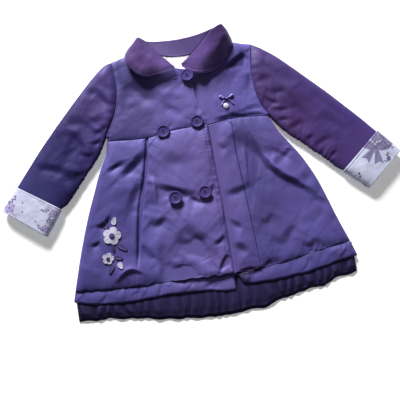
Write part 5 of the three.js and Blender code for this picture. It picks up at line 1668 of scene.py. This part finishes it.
def bow(chest):
    x, y = BOW["x"], BOW["y"]
    sides = {"right": -1, "left": 1}
    under = tree_of(chest)
    tails = [
        laid_patch(
            f"bow_tail_{name}", under, (x + side * 7, y - 6.5), ribbon_tail_reach(side),
            64, 14, 0.9, 0.2, "ribbon_satin",
        )
        for name, side in sides.items()
    ]
    bed = tree_of(chest, *tails)
    for name, side in sides.items():
        laid_patch(
            f"bow_loop_{name}", bed, (x + side * 6.8, y + 3), ribbon_loop_reach(side),
            72, 20, 1.2, 1.3, "ribbon_satin", gathered(side),
        )
    laid_patch("bow_knot", bed, (x, y), round_reach(BOW["knot"] / 2), 40, 12, 2.4, 1.6, "ribbon_satin")
    laid_patch(
        "charm", bed, (CHARM["x"], CHARM["y"]), round_reach(CHARM["radius"]),
        64, 24, 0.8, CHARM["height"] - 0.8, "charm_plastic", charm_rim,
    )


def leaf_patch(row, tree, slot, relief):
    outline = leaf_reach(row["long"], row["wide"], row["lean"])
    return laid_patch(row["name"], tree, (row["x"], row["y"]), outline, 60, 14, 1.0, 0.4, slot, relief)


def sprig(skirt):
    under = tree_of(skirt)
    leaves = [leaf_patch(row, under, "applique_leaf", leaf_relief) for row in LEAVES]
    bed = tree_of(skirt, *leaves)
    for row in BUDS:
        leaf_patch(row, bed, "applique_petal", raised_border)
    for row in FLOWERS:
        name, centre = row["name"], (row["x"], row["y"])
        outline = flower_reach(row["radius"])
        petals = laid_patch(name, bed, centre, outline, 160, 26, 1.0, 0.5, "applique_petal", petal_relief)
        laid_patch(
            f"{name}_heart", tree_of(petals), centre, round_reach(row["heart"]),
            48, 12, 0.9, 0.5, "applique_leaf", heart_relief,
        )


# Materials
MATERIALS = {}
HALF_WIDTH = 0.33
BLACK = (0, 0, 0)
GREY = (0.8, 0.8, 0.8)
WHITE = (1, 1, 1)

# Shades over the coat's width: the place in metres and the colour that the cloth is multiplied by. On the
# body they are painted shade, darker towards both sides where the body slopes down, and a little lighter in
# the middle; the others darken and tint the sleeves, the collar and the ruffle by place, and leave the
# ribbon as it is.
BODY_ACROSS = [
    (-0.2, (0.62, 0.64, 0.76)), (-0.095, (0.72, 0.74, 0.84)), (-0.06, (0.98, 0.98, 0.98)),
    (-0.03, (1.06, 1.05, 1.04)), (0.02, (1.04, 1.02, 1.02)), (0.045, (0.88, 0.87, 0.92)),
    (0.08, (0.74, 0.75, 0.84)), (0.2, (0.72, 0.74, 0.84)),
]
SLEEVE_ACROSS = [
    (-0.26, (0.24, 0.35, 0.56)), (-0.2, (0.3, 0.38, 0.6)), (-0.14, (0.7, 0.74, 0.9)),
    (0.12, (0.94, 0.8, 0.82)), (0.22, (0.9, 0.86, 0.95)), (0.31, (0.76, 0.94, 1.1)),
]
COLLAR_ACROSS = [(-0.02, WHITE), (0.05, (0.75, 0.72, 0.82))]
RIBBON_ACROSS = [(0.0, WHITE), (0.1, WHITE)]
RUFFLE_ACROSS = [(-0.2, (0.7, 0.7, 0.7)), (-0.1, WHITE)]


class Look:
    """A new material's nodes, and short ways to add more and to join them."""

    def __init__(self, name):
        MATERIALS[name] = bpy.data.materials.new(name)
        MATERIALS[name].use_nodes = True
        self.tree = MATERIALS[name].node_tree
        coordinates = self.add("TexCoord")
        self.place = coordinates.outputs["Object"]
        self.normal = coordinates.outputs["Normal"]

    def fill(self, node, inputs):
        """Joins each input to the socket that is given for it, or else sets it to the value."""
        for name, value in inputs.items():
            if isinstance(value, bpy.types.NodeSocket):
                self.tree.links.new(value, node.inputs[name])
            else:
                node.inputs[name].default_value = value

    def surface(self, inputs):
        self.fill(self.tree.nodes["Principled BSDF"], inputs)

    def add(self, kind, inputs=None, **settings):
        node = self.tree.nodes.new(f"ShaderNode{kind}")
        for name, value in settings.items():
            setattr(node, name, value)
        self.fill(node, inputs or {})
        return node

    def noise(self, scale, detail=3.0, stretch=None):
        place = self.place
        if stretch is not None:
            place = self.add("Mapping", {"Scale": stretch, "Vector": place}).outputs["Vector"]
        return self.add("TexNoise", {"Scale": scale, "Detail": detail, "Vector": place}).outputs["Fac"]

    def ramp(self, factor, stops):
        node = self.add("ValToRGB", {"Fac": factor})
        elements = node.color_ramp.elements
        while len(elements) < len(stops):
            elements.new(0.5)
        for element, (at, colour) in zip(elements, stops):
            element.position = at
            element.color = (*colour, 1)
        return node.outputs["Color"]

    def mixed(self, share, a, b, kind="MIX"):
        """Two colours mixed by a share, which is a number or a socket."""
        inputs = {"Factor": share, "A": a, "B": b}
        return self.add("Mix", inputs, data_type="RGBA", blend_type=kind).outputs["Result"]

    def bump(self, height, distance, strength, under=None):
        inputs = {"Distance": distance, "Strength": strength, "Height": height}
        if under is not None:
            inputs["Normal"] = under
        normal = self.add("Bump", inputs).outputs["Normal"]
        self.surface({"Normal": normal})
        return normal

    def weave(self, threads):
        """Warp and weft: two sets of fine bands multiplied together."""
        inputs = {"Scale": threads, "Distortion": 0.6, "Vector": self.place}
        warp, weft = (self.add("TexWave", inputs, bands_direction=axis) for axis in ("X", "Y"))
        both = {0: warp.outputs["Fac"], 1: weft.outputs["Fac"]}
        return self.add("Math", both, operation="MULTIPLY").outputs["Value"]

    def part(self, vector, axis, low, high):
        """Where one part of a vector lies between two limits, from 0 to 1."""
        value = self.add("SeparateXYZ", {"Vector": vector}).outputs[axis]
        return self.add("MapRange", {"From Min": low, "From Max": high, "Value": value}).outputs["Result"]

    def painted(self, name):
        """What is painted on the mesh's points under a name."""
        return self.add("Attribute", attribute_name=name).outputs


def satin(name, painted_facing_shades, shades, tint, across, roughness=0.5, sheen=0.1):
    """Satin-faced polyester with random patches and a tint, under painted light and shade.

    The first list of shades is painted light and shade by the way the cloth faces, from facing the
    hem to facing the collar: lighter where it faces the key light behind the collar and darker where
    it faces away, though the collar's list turns this round to light its inner face. "across" are
    the shades over the coat's width, and the painted shading on the points darkens the creases and
    lightens the crests.
    """
    dark, base, light = shades
    look = Look(name)
    painted_facing_shade = look.ramp(look.part(look.normal, "Y", -1, 1), painted_facing_shades)
    patches = look.ramp(look.noise(14.0), [(0.3, dark), (0.5, base), (0.72, light)])
    tinted = look.ramp(look.noise(9.0, 2.0, (1.0, 1.7, 1.0)), [(0.35, base), (0.7, tint)])
    amount = look.ramp(look.noise(5.0, 1.0), [(0.3, BLACK), (0.8, GREY)])
    colour = look.mixed(amount, look.mixed(0.3, painted_facing_shade, patches), tinted)
    stops = [((x + HALF_WIDTH) / (2 * HALF_WIDTH), shade) for x, shade in across]
    over = look.ramp(look.part(look.place, "X", -HALF_WIDTH, HALF_WIDTH), stops)
    colour = look.mixed(1.0, colour, over, "MULTIPLY")
    rough = {"To Min": roughness - 0.07, "To Max": roughness + 0.1, "Value": look.noise(60.0)}
    look.surface({
        "Base Color": look.mixed(1.0, colour, look.painted("painted_shading")["Color"], "MULTIPLY"),
        "Roughness": look.add("MapRange", rough).outputs["Result"],
        "Sheen Weight": sheen,
        "Sheen Roughness": 0.4,
        "Sheen Tint": (0.6, 0.55, 0.95, 1),
        "Specular IOR Level": 0.3,
        "Specular Tint": (0.5, 0.46, 0.95, 1),
    })
    wrinkles = look.bump(look.noise(120.0, 5.0, (1.0, 1.4, 1.0)), 0.0009, 0.18)
    look.bump(look.weave(420.0), 0.0002, 0.2, wrinkles)


def plain_cloth(name, dark, light, threads, roughness):
    look = Look(name)
    look.surface({
        "Base Color": look.ramp(look.noise(70.0, 5.0), [(0.3, dark), (0.7, light)]),
        "Roughness": roughness,
        "Specular IOR Level": 0.15,
        "Sheen Weight": 0.03,
    })
    wrinkles = look.bump(look.noise(160.0, 4.0), 0.001, 0.3)
    look.bump(look.weave(threads), 0.0003, 0.4, wrinkles)


def printed(name):
    """White cotton whose print is painted on its points."""
    look = Look(name)
    ground = look.ramp(look.noise(40.0, 4.0), [(0.3, (0.36, 0.38, 0.52)), (0.7, (0.41, 0.43, 0.57))])
    ink = look.painted("print")
    look.surface({
        "Base Color": look.mixed(ink["Alpha"], ground, ink["Color"]),
        "Roughness": 0.8,
        "Sheen Weight": 0.1,
    })
    wrinkles = look.bump(look.noise(90.0, 4.0), 0.0012, 0.3)
    look.bump(look.weave(300.0), 0.00025, 0.35, wrinkles)


def plastic(name, dark, light, roughness, shine, coat, clear=0.0):
    look = Look(name)
    look.surface({
        "Base Color": look.ramp(look.noise(90.0), [(0.3, dark), (0.7, light)]),
        "Roughness": roughness,
        "Specular IOR Level": shine,
        "Coat Weight": coat,
        "Coat Roughness": 0.12,
        "Transmission Weight": clear,
    })
    look.bump(look.noise(400.0), 0.0001, 0.25)


def floor_paint(name):
    look = Look(name)
    stops = [(0.3, (0.95, 0.95, 0.955)), (0.7, (0.97, 0.97, 0.97))]
    look.surface({
        "Base Color": look.ramp(look.noise(2.0, 1.0), stops),
        "Roughness": 0.9,
        "Specular IOR Level": 0.1,
        "Emission Color": (1, 1, 1, 1),
        "Emission Strength": 0.22,
    })


def make_satins():
    # In each satin the first list of shades is painted light and shade by the way the cloth faces: lighter
    # facing the key light behind the collar and darker facing away; on the collar it is turned round to
    # light the inner face that the key light misses, and on the ribbon it paints a highlight on the slopes
    # that face the light
    dark, base, light = (0.026, 0.019, 0.092), (0.08, 0.065, 0.22), (0.125, 0.11, 0.32)
    painted_facing_shades = [(0.3, dark), (0.5, base), (0.7, light)]
    satin("body_satin", painted_facing_shades, (dark, base, light), (0.098, 0.057, 0.2), BODY_ACROSS)
    dark, base, light = (0.018, 0.009, 0.055), (0.04, 0.023, 0.11), (0.062, 0.043, 0.165)
    painted_facing_shades = [(0.3, dark), (0.5, base), (0.7, light)]
    satin("sleeve_satin", painted_facing_shades, (dark, base, light), (0.06, 0.022, 0.1), SLEEVE_ACROSS)
    dark, base, light = (0.04, 0.02, 0.085), (0.075, 0.042, 0.155), (0.11, 0.075, 0.22)
    painted_facing_shades = [(0.04, (0.4, 0.34, 0.66)), (0.28, base), (0.5, base), (0.7, dark)]
    satin("collar_satin", painted_facing_shades, (dark, base, light), (0.1, 0.044, 0.15), COLLAR_ACROSS)
    dark, base, light = (0.02, 0.01, 0.08), (0.06, 0.035, 0.2), (0.4, 0.34, 0.66)
    painted_facing_shades = [(0.35, dark), (0.5, base), (0.62, light)]
    satin("ribbon_satin", painted_facing_shades, (dark, base, base), base, RIBBON_ACROSS, roughness=0.35, sheen=0.2)
    dark, base, light = (0.003, 0.002, 0.011), (0.011, 0.008, 0.036), (0.026, 0.021, 0.08)
    painted_facing_shades = [(0.3, dark), (0.5, base), (0.75, light)]
    satin("ruffle_cloth", painted_facing_shades, (dark, base, light), base, RUFFLE_ACROSS, roughness=0.65, sheen=0.0)


def make_materials():
    make_satins()
    printed("printed_cloth")
    plastic("button_plastic", (0.036, 0.022, 0.115), (0.052, 0.036, 0.16), 0.55, 0.1, 0.0)
    plastic("charm_plastic", (0.62, 0.58, 0.74), (0.82, 0.80, 0.9), 0.12, 0.5, 0.6, 0.25)
    plain_cloth("applique_petal", (0.30, 0.29, 0.39), (0.40, 0.39, 0.5), 260.0, 0.85)
    plain_cloth("applique_leaf", (0.03, 0.02, 0.085), (0.055, 0.038, 0.14), 260.0, 0.6)
    plain_cloth("thread", (0.03, 0.02, 0.09), (0.06, 0.045, 0.16), 900.0, 0.6)
    plain_cloth("pale_thread", (0.42, 0.40, 0.56), (0.55, 0.53, 0.68), 900.0, 0.7)
    floor_paint("floor")


# Camera, light and floor
NECK_LIGHT_FROM = (0.0, -0.6, 1.35)
NECK_LIGHT_TO = (-0.003, 0.149, 0.02)


def lamp(name, kind, at, target, power, **settings):
    """A light at a place, turned to a target."""
    light = bpy.data.lights.new(name, kind)
    light.energy = power
    for key, value in settings.items():
        setattr(light, key, value)
    holder = bpy.data.objects.new(name, light)
    holder.location = at
    holder.rotation_euler = (Vector(target) - Vector(at)).to_track_quat("-Z", "Y").to_euler()
    bpy.context.scene.collection.objects.link(holder)


def light_up():
    """A faint even light, a hard one into the neck, the key from behind the collar, and a fill."""
    world = bpy.data.worlds.new("studio")
    world.use_nodes = True
    background = world.node_tree.nodes["Background"]
    background.inputs["Color"].default_value = (1, 1, 1, 1)
    background.inputs["Strength"].default_value = 0.09
    bpy.context.scene.world = world
    lamp(
        "neck", "SPOT", NECK_LIGHT_FROM, NECK_LIGHT_TO, 75.0,
        spot_size=math.radians(4.4), spot_blend=0.5, shadow_soft_size=0.01,
    )
    lamp("key", "AREA", (-0.9, 3.9, 2.05), CAMERA_TARGET, 600.0, size=1.5, color=(1.0, 0.99, 0.97))
    lamp("fill", "AREA", (0.6, -1.2, 2.4), CAMERA_TARGET, 6.0, size=1.5, color=(0.95, 0.96, 1.0))


def lay_floor():
    mesh = bpy.data.meshes.new("floor")
    mesh.from_pydata([(-3, -3, 0), (3, -3, 0), (3, 3, 0), (-3, 3, 0)], [], [(0, 1, 2, 3)])
    mesh.materials.append(MATERIALS["floor"])
    plane = bpy.data.objects.new("floor", mesh)
    bpy.context.scene.collection.objects.link(plane)


def place_camera():
    azimuth, elevation = math.radians(CAMERA_AZIMUTH), math.radians(CAMERA_ELEVATION)
    level = math.cos(elevation)
    back = Vector((math.sin(azimuth) * level, -math.cos(azimuth) * level, math.sin(elevation)))
    lens = bpy.data.cameras.new("camera")
    lens.angle = math.radians(CAMERA_ANGLE)
    lens.dof.use_dof = False
    camera = bpy.data.objects.new("camera", lens)
    camera.location = Vector(CAMERA_TARGET) + back * CAMERA_DISTANCE
    camera.rotation_euler = back.to_track_quat("Z", "Y").to_euler()
    bpy.context.scene.collection.objects.link(camera)
    bpy.context.scene.camera = camera


def stage():
    bpy.context.scene.view_settings.view_transform = "Standard"
    lay_floor()
    light_up()
    place_camera()


def main():
    make_materials()
    stage()
    backs = [back_yoke(), back_skirt()]
    lining = neck_lining()
    left = [front_yoke_left(), front_skirt_left()]
    right = [front_yoke_right(), front_skirt_right()]
    hem_band("back_hem_band", -222, 232, 0, "left", 0.0, 260, 0.0, 61)
    bands = [
        hem_band("front_hem_band_left", 36, 232, 8, "left", BAND_FLOOR, 240, 1.6, 62),
        hem_band("front_hem_band_right", -222, 31, 0, "right", BAND_FLOOR, 300, 1.6, 63),
    ]
    ruffle("ruffle_back", -217, 224, 2.0, 0.0, 4)
    ruffle("ruffle_front_right", -217, 33.5, 3.75, 1.5, 0)
    ruffle("ruffle_front_left", 34.5, 224, 3.75, 1.5, 0)
    sleeve("right", RIGHT_ARMHOLE, 71)
    sleeve("left", LEFT_ARMHOLE, 75)
    cuffs = {"right": cuff("right", 81), "left": cuff("left", 85)}
    collar_piece = collar([*backs, lining, left[0], right[0]])
    topstitching([*right, *left], bands, collar_piece, cuffs)
    for name in BUTTONS:
        button(name)
    button_threads()
    bow(left[0])
    sprig(right[1])


main()
